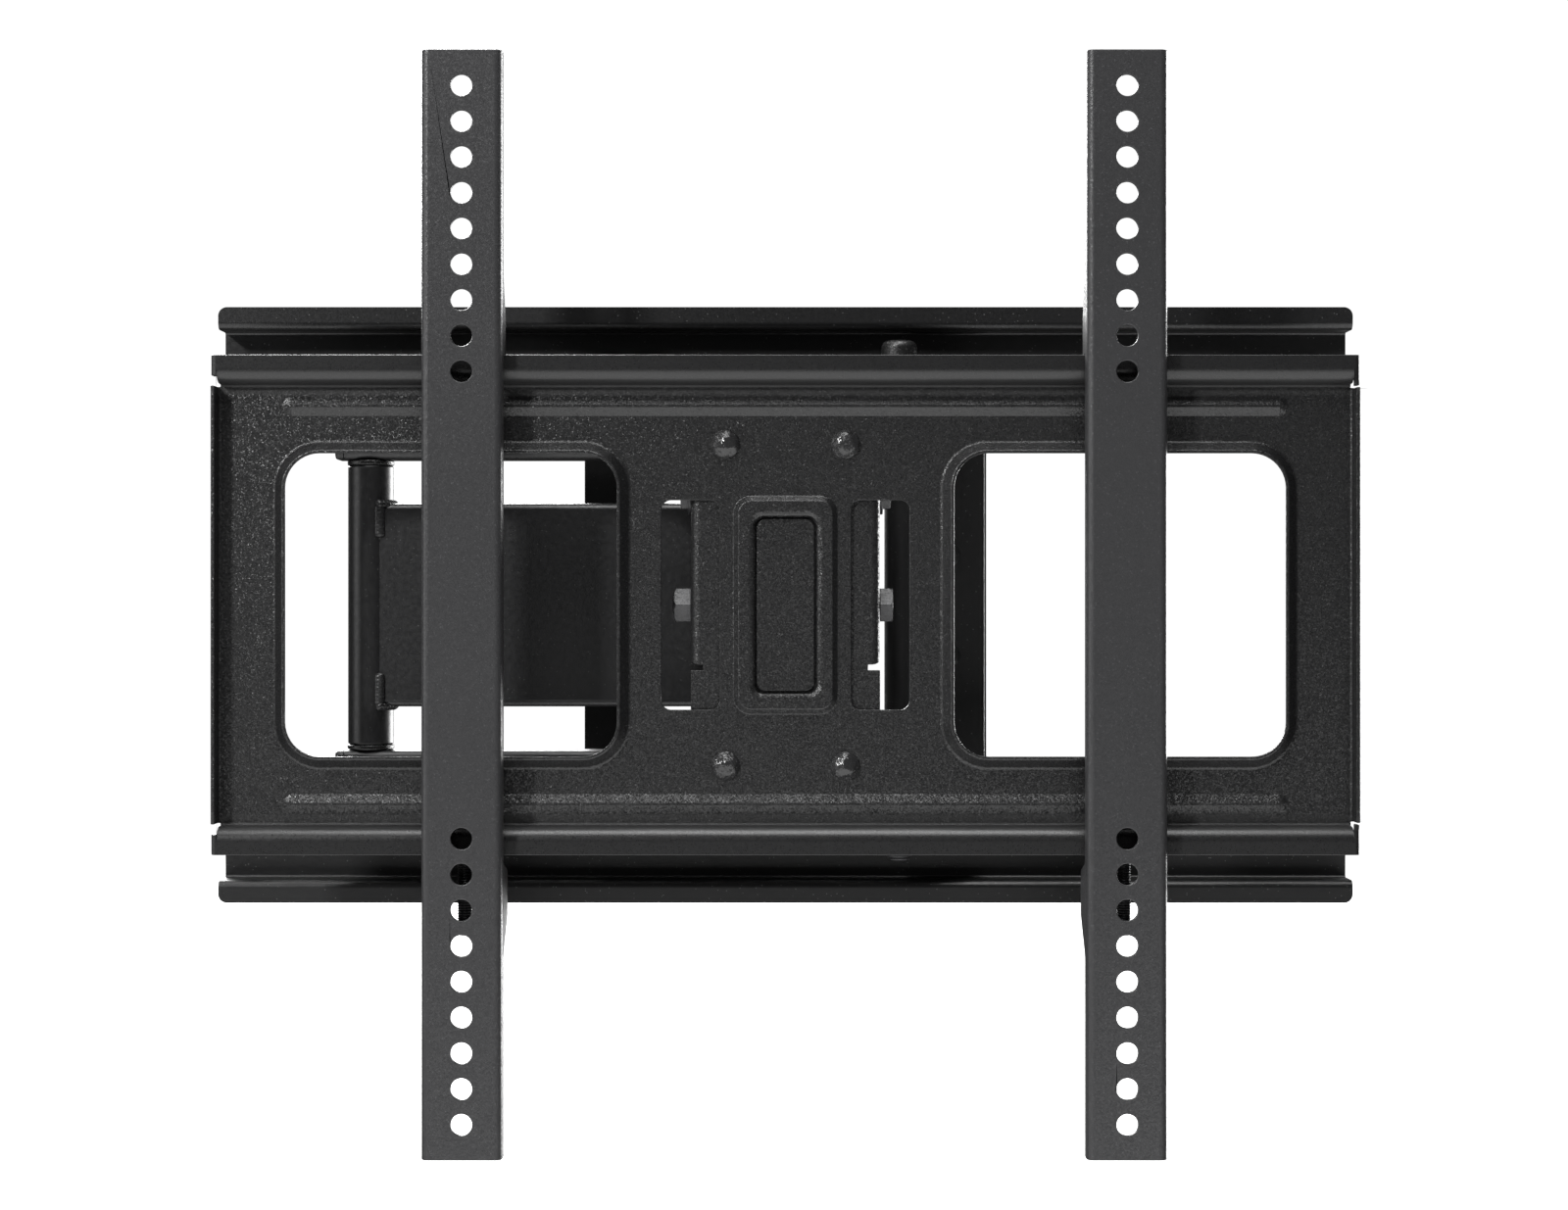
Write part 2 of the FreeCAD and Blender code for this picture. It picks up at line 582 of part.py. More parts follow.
def rear_tube_cap(side, end):
    """A moulded plug in one end of a rear tube: end -1 at the elbow, 1 at the wall pivot."""
    if end < 0:
        edge, flange_end = ELBOW_X - REAR_TUBE_PAST_ELBOW, -CAP_FLANGE
    else:
        edge, flange_end = WALL_PIVOT_X + REAR_TUBE_PAST_PIVOT, CAP_FLANGE
    half = REAR_TUBE_THICK / 2
    depths = (PIVOT_DEPTH - half, PIVOT_DEPTH + half)
    x_flange = tuple(sorted((edge, edge + flange_end)))
    corners = [(depths[0], REAR_TUBE_LOW), (depths[1], REAR_TUBE_LOW), (depths[1], REAR_TUBE_TOP), (depths[0], REAR_TUBE_TOP)]
    flange = side_prism(corners, [TUBE_CORNER_R] * 4, x_flange)
    tip = [e for e in flange.Edges if abs(e.CenterOfMass.x - (edge + flange_end)) < 0.01]
    flange = flange.makeFillet(1.0, tip)
    inset = TUBE_WALL + SEAT_GAP
    reach = min(CAP_PLUG, REAR_TUBE_PAST_ELBOW - BOLT_R - 1.5)
    x_plug = tuple(sorted((edge, edge - math.copysign(reach, flange_end))))
    inner = [(depths[0] + inset, REAR_TUBE_LOW + inset), (depths[1] - inset, REAR_TUBE_LOW + inset),
             (depths[1] - inset, REAR_TUBE_TOP - inset), (depths[0] + inset, REAR_TUBE_TOP - inset)]
    cap = fused([flange, side_prism(inner, [TUBE_CORNER_R - TUBE_WALL] * 4, x_plug)])
    return cap if side > 0 else mirrored(cap, "z")


def wall_pivot_sleeve():
    """The spacer tube between the two rear tubes at the wall pivot."""
    base = point(WALL_PIVOT_X, PIVOT_DEPTH, -REAR_TUBE_LOW)
    return ring(BOLT_R + RUN_GAP, SLEEVE_R, REAR_TUBE_LOW * 2, base, along("z"))


def wall_pivot_washer(side):
    """A nylon washer between a rear tube and its ear."""
    base = point(WALL_PIVOT_X, PIVOT_DEPTH, REAR_TUBE_TOP)
    washer = ring(BOLT_R + RUN_GAP, BUSH_FLANGE_R, BUSH_FLANGE_T, base, along("z"))
    return washer if side > 0 else mirrored(washer, "z")


def elbow_bolt():
    """The elbow's bolt, clamped through both rear tubes."""
    top = REAR_TUBE_TOP + ELBOW_WASHER_T
    bottom = -top - NUT_HEIGHT - BOLT_OVERHANG
    return pivot_bolt(ELBOW_X, PIVOT_DEPTH, top, bottom, BOLT_HEAD_R, BOLT_HEAD_HEIGHT)


def elbow_bolt_washer(side):
    """A steel washer under the elbow bolt's head or nut."""
    base = point(ELBOW_X, PIVOT_DEPTH, REAR_TUBE_TOP)
    washer = ring(BOLT_R, ELBOW_WASHER_R, ELBOW_WASHER_T, base, along("z"))
    return washer if side > 0 else mirrored(washer, "z")


def elbow_nut():
    """The locking nut under the lower rear tube."""
    return lock_nut(ELBOW_X, PIVOT_DEPTH, -REAR_TUBE_TOP - ELBOW_WASHER_T, NUT_HEIGHT)


def front_arm_tube():
    """The tall tube of the front arm, its ends coped round the two barrels."""
    half = FRONT_ARM_THICK / 2
    depths = (PIVOT_DEPTH - half, PIVOT_DEPTH + half)
    heights = (-FRONT_ARM_HALF_HEIGHT, FRONT_ARM_HALF_HEIGHT)
    tube = rectangular_tube((ELBOW_X, HEAD_X), depths, heights, TUBE_CORNER_R, TUBE_WALL)
    for x in (ELBOW_X, HEAD_X):
        tube = tube.cut(cylinder(BARREL_R, heights[0] - 1, heights[1] + 1, x, PIVOT_DEPTH))
    return tube


def barrel(x, half_height):
    """An upright bearing barrel with chamfered rims, bored for its bushes."""
    body = cylinder(BARREL_R, -half_height, half_height, x, PIVOT_DEPTH)
    rims = [e for e in body.Edges if len(e.Vertexes) == 1]
    body = body.makeChamfer(0.7, rims)
    return body.cut(cylinder(BUSH_R, -half_height - 1, half_height + 1, x, PIVOT_DEPTH))


def barrel_bush(x, half_height, flange_t, side):
    """A flanged nylon bush pushed into one end of a barrel."""
    flange = cylinder(BUSH_FLANGE_R, half_height, half_height + flange_t, x, PIVOT_DEPTH)
    stem = cylinder(BUSH_R - SEAT_GAP, half_height - BUSH_LENGTH, half_height, x, PIVOT_DEPTH)
    bore = cylinder(BOLT_R + RUN_GAP, half_height - BUSH_LENGTH - 1, half_height + flange_t + 1, x, PIVOT_DEPTH)
    bush = fused([flange, stem]).cut(bore)
    return bush if side > 0 else mirrored(bush, "z")


def yoke_cheek():
    """The right cheek of the swivel yoke, in front of the bend."""
    outer = YOKE_HALF_WIDTH
    back = YOKE_WEB_DEPTH + YOKE_BEND_R + YOKE_T / 2
    corners = [(back, YOKE_CHEEK_LOW - 6), (YOKE_CHEEK_FRONT, YOKE_CHEEK_LOW),
               (YOKE_CHEEK_FRONT, YOKE_CHEEK_TOP), (back, YOKE_CHEEK_TOP)]
    return side_prism(corners, [0.5, 6, 4, 0.5], (outer - YOKE_T, outer))


def swivel_yoke():
    """The folded yoke that turns on the head barrel and carries the tilt axle."""
    ear_mid = YOKE_EAR_INNER_Z + YOKE_T / 2
    web_mid = YOKE_WEB_DEPTH + YOKE_T / 2
    web_front = YOKE_WEB_DEPTH + YOKE_T
    back = PIVOT_DEPTH - EAR_R
    path = [(back, -ear_mid), (web_mid, -ear_mid), (web_mid, ear_mid), (back, ear_mid)]
    half = EAR_R + 4
    ears = bent_sheet(path, [YOKE_BEND_R] * 2, YOKE_T, "dz", HEAD_X - half, half * 2)
    plan = [(HEAD_X - EAR_R, back), (HEAD_X + EAR_R, back), (HEAD_X + half, YOKE_WEB_DEPTH - 3),
            (HEAD_X + half, web_front), (HEAD_X - half, web_front), (HEAD_X - half, YOKE_WEB_DEPTH - 3)]
    outline = plan_prism(plan, [EAR_R - 0.5, EAR_R - 0.5, 2, 0, 0, 2], (-YOKE_HALF_HEIGHT, YOKE_HALF_HEIGHT))
    hole = cylinder(BOLT_R, -YOKE_HALF_HEIGHT - 1, YOKE_HALF_HEIGHT + 1, HEAD_X, PIVOT_DEPTH)
    low = YOKE_CHEEK_LOW - 6
    high = YOKE_EAR_INNER_Z - 1
    mid = YOKE_HALF_WIDTH - YOKE_T / 2
    leg = web_front + YOKE_BEND_R * 2
    sides = [(-mid, leg), (-mid, web_mid), (mid, web_mid), (mid, leg)]
    channel = bent_sheet(sides, [YOKE_BEND_R] * 2, YOKE_T, "xd", low, high - low)
    cheek = yoke_cheek()
    yoke = fused([ears.common(outline).cut(hole), channel, cheek, mirrored(cheek, "x")])
    reach = YOKE_HALF_WIDTH + 1
    yoke = yoke.cut(cross_cylinder(BOLT_R, -reach, reach, TILT_DEPTH, 0))
    return yoke.cut(cross_cylinder(LOCK_BOLT_R, -reach, reach, LOCK_DEPTH, LOCK_Z))


def swivel_bolt():
    """The upright bolt that the yoke turns on."""
    bottom = -YOKE_HALF_HEIGHT - SWIVEL_NUT_HEIGHT - BOLT_OVERHANG
    return pivot_bolt(HEAD_X, PIVOT_DEPTH, YOKE_HALF_HEIGHT, bottom, BOLT_HEAD_R, BOLT_HEAD_HEIGHT)


def swivel_nut():
    """The locking nut under the yoke."""
    return lock_nut(HEAD_X, PIVOT_DEPTH, -YOKE_HALF_HEIGHT, SWIVEL_NUT_HEIGHT)


def tilt_axle():
    """The cross bolt that the display head tilts on, its hexagon head at the right."""
    end = TILT_BRACKET_HALF_WIDTH + FACE_GAP
    shank = cross_cylinder(BOLT_R, -end - AXLE_NUT_HEIGHT - AXLE_OVERHANG, end, TILT_DEPTH, 0)
    head = hex_prism(NUT_FLATS, AXLE_HEAD_HEIGHT, point(end, TILT_DEPTH, 0), along("x"))
    return fused([shank, head])


def tilt_axle_nut():
    """The locking nut on the tilt axle's left end."""
    end = TILT_BRACKET_HALF_WIDTH + FACE_GAP
    nut = hex_prism(NUT_FLATS, AXLE_NUT_HEIGHT, point(-end, TILT_DEPTH, 0), -along("x"))
    return nut.cut(cross_cylinder(BOLT_R, -end - AXLE_NUT_HEIGHT - PAST, -end + PAST, TILT_DEPTH, 0))


def tilt_sleeve():
    """The spacer tube on the tilt axle, between the yoke's cheeks."""
    half = YOKE_HALF_WIDTH - YOKE_T
    return ring(BOLT_R + SEAT_GAP, SLEEVE_R, half * 2, point(-half, TILT_DEPTH, 0), along("x"))


def tilt_lock_bolt(side):
    """A tilt lock bolt with its wide washer face, outside the ear's arc slot."""
    start = YOKE_HALF_WIDTH - YOKE_T - WELD_NUT_T - AXLE_OVERHANG
    outside = TILT_BRACKET_HALF_WIDTH + FACE_GAP
    seat = outside + LOCK_WASHER_T
    shank = cross_cylinder(LOCK_BOLT_R, start, outside, LOCK_DEPTH, LOCK_Z)
    flange = cross_cylinder(LOCK_WASHER_R, outside, seat, LOCK_DEPTH, LOCK_Z)
    head = hex_prism(LOCK_HEAD_FLATS, LOCK_HEAD_HEIGHT, point(seat, LOCK_DEPTH, LOCK_Z), along("x"))
    bolt = fused([shank, flange, head])
    return bolt if side > 0 else mirrored(bolt, "x")


def tilt_lock_nut(side):
    """The weld nut inside the yoke's cheek that a tilt lock bolt turns in."""
    end = YOKE_HALF_WIDTH - YOKE_T
    nut = cross_cylinder(WELD_NUT_R, end - WELD_NUT_T, end, LOCK_DEPTH, LOCK_Z)
    nut = nut.cut(cross_cylinder(LOCK_BOLT_R, end - WELD_NUT_T - PAST, end + PAST, LOCK_DEPTH, LOCK_Z))
    return nut if side > 0 else mirrored(nut, "x")


def lock_place(tilt_deg, radius_change=0.0):
    """Where a lock bolt stands on the tilt bracket at a tilt: its depth and height."""
    forward = LOCK_DEPTH - TILT_DEPTH
    radius = math.hypot(forward, LOCK_Z)
    angle = math.atan2(LOCK_Z, forward) + math.radians(tilt_deg)
    reach = radius + radius_change
    return TILT_DEPTH + reach * math.cos(angle), reach * math.sin(angle)


def lock_slot():
    """The arc slot that a lock bolt travels along, cut through both ears."""
    half = LOCK_BOLT_R + LOCK_SLOT_GAP
    radius = math.hypot(LOCK_DEPTH - TILT_DEPTH, LOCK_Z)
    cap_deg = math.degrees(half / radius)
    low, high = -TILT_BACK_DEG, TILT_FORWARD_DEG
    middle = (low + high) / 2
    stations = [(low, half), (middle, half), (high, half), (high + cap_deg, 0.0),
                (high, -half), (middle, -half), (low, -half), (low - cap_deg, 0.0)]
    reach = TILT_BRACKET_HALF_WIDTH + 1
    ring_points = [point(-reach, *lock_place(deg, change)) for deg, change in stations]
    ring_points.append(ring_points[0])
    arcs = [Part.Arc(*ring_points[i:i + 3]).toShape() for i in (0, 2, 4, 6)]
    return outward(Part.Face(Part.Wire(arcs)).extrude(along("x") * reach * 2))


def tilt_bracket():
    """The channel riveted behind the faceplate, with an ear on each side for the tilt bolts."""
    web_front = FACE_BACK
    web_mid = web_front - YOKE_T / 2
    mid = TILT_BRACKET_HALF_WIDTH - YOKE_T / 2
    slot_back = lock_place(TILT_FORWARD_DEG)[0] - LOCK_BOLT_R - LOCK_SLOT_GAP - TILT_EAR_EDGE
    ear_top = LOCK_Z + TILT_EAR_RISE
    ear_low = TILT_EAR_LOW
    sides = [(-mid, slot_back - 1), (-mid, web_mid), (mid, web_mid), (mid, slot_back - 1)]
    channel = bent_sheet(sides, [YOKE_BEND_R] * 2, YOKE_T, "xd", ear_low, ear_top - ear_low)
    outline = [(web_front + 1, ear_low), (TILT_EAR_BACK, ear_low + 13), (TILT_EAR_BACK, LOCK_Z - 10),
               (slot_back, LOCK_Z - 6), (slot_back, LOCK_Z + 8), (slot_back + 8, ear_top - 2), (web_front + 1, ear_top)]
    reach = TILT_BRACKET_HALF_WIDTH + 1
    ears = channel.common(side_prism(outline, [0, 8, 1.5, 3, 5, 4, 0], (-reach, reach)))
    width = (-TILT_BRACKET_HALF_WIDTH, TILT_BRACKET_HALF_WIDTH)
    height = TILT_BRACKET_HALF_HEIGHT
    flat = front_prism(width, (-height, height), 5.0, (web_front - YOKE_T, web_front))
    bend = YOKE_BEND_R + YOKE_T / 2
    corner = block((mid - bend, reach), (web_front - YOKE_T - 1, web_front + 1), (ear_low - 1.5, ear_top + 1.5))
    flat = flat.cut(corner).cut(mirrored(corner, "x"))
    boss_x = (-PORT_HALF_WIDTH + BOSS_MARGIN, PORT_HALF_WIDTH - BOSS_MARGIN)
    boss_z = (-PORT_TOP + BOSS_MARGIN, PORT_TOP - BOSS_MARGIN)
    boss = front_frustum(boss_x, boss_z, PORT_R, (web_front, web_front + BOSS_HEIGHT), BOSS_HEIGHT)
    hollow = front_frustum(boss_x, boss_z, PORT_R, (web_front - YOKE_T, web_front - YOKE_T + BOSS_HEIGHT), BOSS_HEIGHT)
    bracket = fused([ears, flat, boss]).cut(hollow).cut(lock_slot())
    bracket = bracket.cut(cross_cylinder(BOLT_R + RUN_GAP, -reach, reach, TILT_DEPTH, 0))
    for x, z in face_rivet_places():
        bracket = bracket.cut(bore_y(RIVET_SHANK_R, web_front - YOKE_T - PAST, web_front + PAST, x, z))
    return bracket


def face_rivet_places():
    """The four rivets that join the faceplate to the tilt bracket."""
    return [(x, z) for x in (-FACE_RIVET_X, FACE_RIVET_X) for z in (-FACE_RIVET_Z, FACE_RIVET_Z)]


def face_rivet(x, z):
    """A domed rivet through the faceplate and the tilt bracket, upset behind."""
    back = FACE_BACK - YOKE_T
    shank = bore_y(RIVET_SHANK_R, back, FACE_FRONT, x, z)
    head = dome(FACE_RIVET_HEAD_R, FACE_RIVET_HEAD_HEIGHT, point(x, FACE_FRONT, z), -along("y"))
    tail = dome(FACE_RIVET_TAIL_R, FACE_RIVET_TAIL_HEIGHT, point(x, back, z), along("y"))
    return fused([shank, head, tail])


def faceplate_edge():
    """The faceplate's upper edge: a shelf bent forward from the web, and an upright lip."""
    web = FACE_BACK + FACE_T / 2
    shelf = SHELF_LOW + FACE_T / 2
    lip = LIP_BACK + FACE_T / 2
    low = FACE_FLANGE_TOP_RIGHT - BEND_R * 3
    path = [(web, low), (web, shelf), (lip, shelf), (lip, LIP_TOP)]
    edge = bent_sheet(path, [BEND_R, SHELF_BEND_R - FACE_T / 2], FACE_T, "dz", -LIP_END_X, LIP_END_X * 2)
    relief = front_polygon([(END_RELIEF_X, low - PAST), (LIP_END_X + PAST, low - PAST),
                            (LIP_END_X + PAST, END_RELIEF_TOP), (END_RELIEF_X, SHELF_LOW)],
                           (FACE_BACK - PAST, LIP_FRONT + PAST))
    return edge.cut(relief).cut(mirrored(relief, "x"))


def end_tab(low):
    """The lip's right end, folded back toward the wall, its lower part hanging free."""
    lip = LIP_BACK + FACE_T / 2
    edge = FACE_HALF_WIDTH - FACE_T / 2
    path = [(LIP_END_X - PAST, lip), (edge, lip), (edge, LIP_FRONT - END_FOLD_DEPTH)]
    fold = bent_sheet(path, [END_FOLD_R - FACE_T / 2], FACE_T, "xd", low, LIP_TOP - low)
    free = block((LIP_END_X - PAST * 2, LIP_END_X), (LIP_BACK - PAST, LIP_FRONT + PAST),
                 (low - PAST, SHELF_LOW + SHELF_BEND_R))
    return fold.cut(free)


def pressed_land(x_range, z_range, radius, height, slope):
    """A raised land with sloping sides: the solid in front and the hollow behind it."""
    front = front_frustum(x_range, z_range, radius, (FACE_FRONT, FACE_FRONT + height), slope)
    inset = FACE_T * math.tan(math.atan2(height, slope) / 2)
    narrow = (x_range[0] + inset, x_range[1] - inset)
    low = (z_range[0] + inset, z_range[1] - inset)
    back = front_frustum(narrow, low, radius - inset, (FACE_BACK, FACE_BACK + height), slope)
    return front, back


def softened(plate, x_range, z_range, depth, radius):
    """The plate with its edges at one depth rounded, inside a rectangle seen from the front."""
    def inside(corner):
        return (abs(corner.Y + depth) < SEAT_GAP and x_range[0] - SEAT_GAP < corner.X < x_range[1] + SEAT_GAP
                and z_range[0] - SEAT_GAP < corner.Z < z_range[1] + SEAT_GAP)
    return plate.makeFillet(radius, [e for e in plate.Edges if all(inside(v) for v in e.Vertexes)])


def faceplate_pan():
    """The faceplate's web with its two forward side flanges, the right one shorter."""
    web = FACE_BACK + FACE_T / 2
    mid = FACE_HALF_WIDTH - FACE_T / 2
    path = [(-mid, LIP_FRONT), (-mid, web), (mid, web), (mid, LIP_FRONT)]
    pan = bent_sheet(path, [BEND_R] * 2, FACE_T, "xd", -FACE_FLANGE_TOP_LEFT, FACE_FLANGE_TOP_LEFT * 2)
    shorter = block((mid - BEND_R, FACE_HALF_WIDTH + PAST), (FACE_BACK - PAST, LIP_FRONT + PAST),
                    (FACE_FLANGE_TOP_RIGHT, FACE_FLANGE_TOP_LEFT + PAST))
    return pan.cut(shorter).cut(mirrored(shorter, "z"))


def port_edge():
    """The dished edge round the middle port: what it removes in front and what it keeps behind."""
    wide = (-PORT_HALF_WIDTH - PORT_DISH_WIDTH, PORT_HALF_WIDTH + PORT_DISH_WIDTH)
    tall = (-PORT_TOP - PORT_DISH_WIDTH, PORT_TOP + PORT_DISH_WIDTH)
    crest = FACE_FRONT + PAD_HEIGHT
    dish = front_frustum(wide, tall, PORT_R + PORT_DISH_WIDTH, (crest, crest - PORT_DISH_DEPTH), PORT_DISH_WIDTH)
    outset = FACE_T * math.tan(math.atan2(PORT_DISH_DEPTH, PORT_DISH_WIDTH) / 2)
    run = PORT_DISH_WIDTH + outset
    wide = (-PORT_HALF_WIDTH - run, PORT_HALF_WIDTH + run)
    tall = (-PORT_TOP - run, PORT_TOP + run)
    roof = FACE_BACK + PAD_HEIGHT
    kept = front_frustum(wide, tall, PORT_R + run, (roof, roof - run * PORT_DISH_DEPTH / PORT_DISH_WIDTH), run)
    return dish, kept


def faceplate():
    """The pressed faceplate with its shelved edges, raised window rims, pad and ribs."""
    edge = fused([faceplate_edge(), mirrored(end_tab(END_TAB_LOW_LEFT), "x"), end_tab(END_TAB_LOW_RIGHT)])
    rim_x = (WINDOW_INNER_X - RIM_WIDTH, WINDOW_OUTER_X + RIM_WIDTH)
    rim_z = (-WINDOW_TOP - RIM_WIDTH, WINDOW_TOP + RIM_WIDTH)
    rim, rim_back = pressed_land(rim_x, rim_z, WINDOW_R + RIM_WIDTH, RIM_HEIGHT, RIM_SLOPE)
    pad_x = (-PAD_HALF_WIDTH, PAD_HALF_WIDTH)
    pad_z = (-PAD_TOP, PAD_TOP)
    pad, pad_back = pressed_land(pad_x, pad_z, PAD_R, PAD_HEIGHT, PAD_SLOPE)
    rib_x = (-RIB_HALF_LENGTH, RIB_HALF_LENGTH)
    rib_z = (RIB_Z - RIB_HALF_HEIGHT, RIB_Z + RIB_HALF_HEIGHT)
    rib, rib_back = pressed_land(rib_x, rib_z, RIB_HALF_HEIGHT - LEAST_CORNER_R, RIB_HEIGHT, RIB_SLOPE)
    plate = fused([faceplate_pan(), edge, mirrored(edge, "z"), rim, mirrored(rim, "x"), pad])
    full_x = (-WINDOW_OUTER_X - RIM_WIDTH, WINDOW_OUTER_X + RIM_WIDTH)
    plate = softened(plate, full_x, rim_z, FACE_FRONT + RIM_HEIGHT, RIM_CREST_R)
    plate = softened(plate, pad_x, pad_z, FACE_FRONT + PAD_HEIGHT, PAD_EDGE_R)
    plate = softened(plate, pad_x, pad_z, FACE_FRONT, PAD_EDGE_R)
    for x_range in (rim_x, (-rim_x[1], -rim_x[0])):
        plate = softened(plate, x_range, rim_z, FACE_FRONT, RIM_BASE_R)
    plate = fused([plate, rib, mirrored(rib, "z")])
    dish, kept = port_edge()
    for hollow in (rim_back, mirrored(rim_back, "x"), pad_back.cut(kept), rib_back, mirrored(rib_back, "z"), dish):
        plate = plate.cut(hollow)
    through = (FACE_BACK - PAST, FACE_FRONT + RIM_HEIGHT + PAST)
    window = front_prism((WINDOW_INNER_X, WINDOW_OUTER_X), (-WINDOW_TOP, WINDOW_TOP), WINDOW_R, through)
    slit = front_prism((SLIT_INNER_X, SLIT_OUTER_X), (-SLIT_TOP, SLIT_TOP), SLIT_R, through)
    for opening in (window, slit):
        plate = plate.cut(opening).cut(mirrored(opening, "x"))
    plate = plate.cut(front_prism((-PORT_HALF_WIDTH, PORT_HALF_WIDTH), (-PORT_TOP, PORT_TOP), PORT_R, through))
    for x, z in face_rivet_places():
        plate = plate.cut(bore_y(RIVET_SHANK_R, *through, x, z))
    return plate


def rail_holes(x):
    """The mounting holes at both ends of a display rail."""
    top = RAIL_HOLE_SPAN / 2
    count = int((top - RAIL_HOLE_LOWEST) / RAIL_HOLE_PITCH) + 1
    heights = [top - i * RAIL_HOLE_PITCH for i in range(count)]
    through = (RAIL_FRONT - PLATE_T - PAST, RAIL_FRONT + PAST)
    return [bore_y(RAIL_HOLE_R, *through, x, side * z) for side in (1, -1) for z in heights]


def display_rail(x):
    """A display rail: a channel whose flanges hook over the faceplate's upper lip."""
    mid = RAIL_WIDTH / 2 - PLATE_T / 2
    web = RAIL_FRONT - PLATE_T / 2
    path = [(x - mid, LOCK_TAB_BACK - 1), (x - mid, web), (x + mid, web), (x + mid, LOCK_TAB_BACK - 1)]
    channel = bent_sheet(path, [BEND_R] * 2, PLATE_T, "xd", -RAIL_HALF_LENGTH, RAIL_HALF_LENGTH * 2)
    strip = RAIL_BACK
    behind = LIP_BACK - SLIDE_GAP
    hook = behind - HOOK_WIDTH
    roof = LIP_TOP + SLIDE_GAP
    front = RAIL_FRONT + PAST
    end = RAIL_HALF_LENGTH + PAST
    tab_low = LOCK_TAB_Z - 10
    tab_high = LOCK_TAB_Z + 8
    outline = [(front, -end), (strip, -end), (strip, tab_low - 14), (LOCK_TAB_BACK, tab_low),
               (LOCK_TAB_BACK, tab_high), (strip, tab_high + 4), (strip, roof), (behind, roof),
               (behind, HOOK_LOW), (hook, HOOK_LOW), (hook, HOOK_SHOULDER), (strip, HOOK_TAPER_END),
               (strip, end), (front, end)]
    radii = [0, 0, 4, 4, 3, 1, 0.5, 0.5, HOOK_CORNER_R, 1.5, 3, 4, 0, 0]
    rail = channel.common(side_prism(outline, radii, (x - RAIL_WIDTH, x + RAIL_WIDTH)))
    inner = RAIL_WIDTH / 2 - PLATE_T
    tab = block((x - inner, x + inner), (LOCK_TAB_BACK + 1, RAIL_FRONT - PLATE_T),
                (LOCK_TAB_Z - BRACKET_T / 2, LOCK_TAB_Z + BRACKET_T / 2))
    rail = fused([rail, tab])
    rail = rail.cut(cylinder(LOCK_SCREW_R + SEAT_GAP, LOCK_TAB_Z - 5, LOCK_TAB_Z + 5, x, lock_screw_depth()))
    for hole in rail_holes(x):
        rail = rail.cut(hole)
    return rail


def lock_screw_depth():
    """The lock screw's depth, just behind the faceplate's lower lip."""
    return LIP_BACK - SLIDE_GAP * 2 - LOCK_SCREW_R


def lock_screw(x):
    """The screw that keeps a rail from lifting off, its tip behind the lower lip."""
    low = LOCK_TAB_Z - LOCK_SCREW_DROP
    shank = cylinder(LOCK_SCREW_R, low, LOCK_SCREW_TIP, x, lock_screw_depth())
    tip = [e for e in shank.Edges if len(e.Vertexes) == 1 and e.CenterOfMass.z > LOCK_SCREW_TIP - PAST]
    shank = shank.makeChamfer(0.8, tip)
    base = point(x, lock_screw_depth(), low)
    head = button_head(LOCK_SCREW_HEAD_R, LOCK_SCREW_HEAD_HEIGHT, base, -along("z"))
    return fused([shank, head])


def all_parts():
    """Every piece of the mount by its name."""
    parts = {
        "wall_plate": wall_plate(),
        "wall_pivot_bracket": wall_pivot_bracket(),
        "wall_bracket_rivets": bracket_rivets(),
        "wall_pivot_bolt": wall_pivot_bolt(),
        "wall_pivot_nut": wall_pivot_nut(),
        "wall_pivot_cap": wall_pivot_cap(),
        "wall_pivot_sleeve": wall_pivot_sleeve(),
        "elbow_bolt": elbow_bolt(),
        "elbow_nut": elbow_nut(),
        "elbow_barrel": barrel(ELBOW_X, ELBOW_BARREL_HALF_HEIGHT),
        "front_arm_tube": front_arm_tube(),
        "head_barrel": barrel(HEAD_X, HEAD_BARREL_HALF_HEIGHT),
        "swivel_yoke": swivel_yoke(),
        "swivel_bolt": swivel_bolt(),
        "swivel_nut": swivel_nut(),
        "tilt_axle": tilt_axle(),
        "tilt_axle_nut": tilt_axle_nut(),
        "tilt_sleeve": tilt_sleeve(),
        "tilt_bracket": tilt_bracket(),
        "faceplate": faceplate(),
    }
    for name, side in (("upper", 1), ("lower", -1)):
        parts[f"rear_{name}_tube"] = rear_tube(side)
        parts[f"rear_{name}_elbow_cap"] = rear_tube_cap(side, -1)
        parts[f"rear_{name}_wall_cap"] = rear_tube_cap(side, 1)
        parts[f"wall_pivot_{name}_washer"] = wall_pivot_washer(side)
        parts[f"elbow_{name}_washer"] = elbow_bolt_washer(side)
        parts[f"elbow_{name}_bush"] = barrel_bush(ELBOW_X, ELBOW_BARREL_HALF_HEIGHT, BUSH_FLANGE_T, side)
        parts[f"head_{name}_bush"] = barrel_bush(HEAD_X, HEAD_BARREL_HALF_HEIGHT, HEAD_BUSH_FLANGE_T, side)
    for name, side in (("right", 1), ("left", -1)):
        parts[f"tilt_lock_bolt_{name}"] = tilt_lock_bolt(side)
        parts[f"tilt_lock_nut_{name}"] = tilt_lock_nut(side)
        parts[f"{name}_display_rail"] = display_rail(RAIL_X[name])
        parts[f"{name}_lock_screw"] = lock_screw(RAIL_X[name])
    corners = {(-1, 1): "upper_left", (1, 1): "upper_right", (-1, -1): "lower_left", (1, -1): "lower_right"}
    for x, z in face_rivet_places():
        place = corners[(math.copysign(1, x), math.copysign(1, z))]
        parts[f"face_rivet_{place}"] = face_rivet(x, z)
    return parts


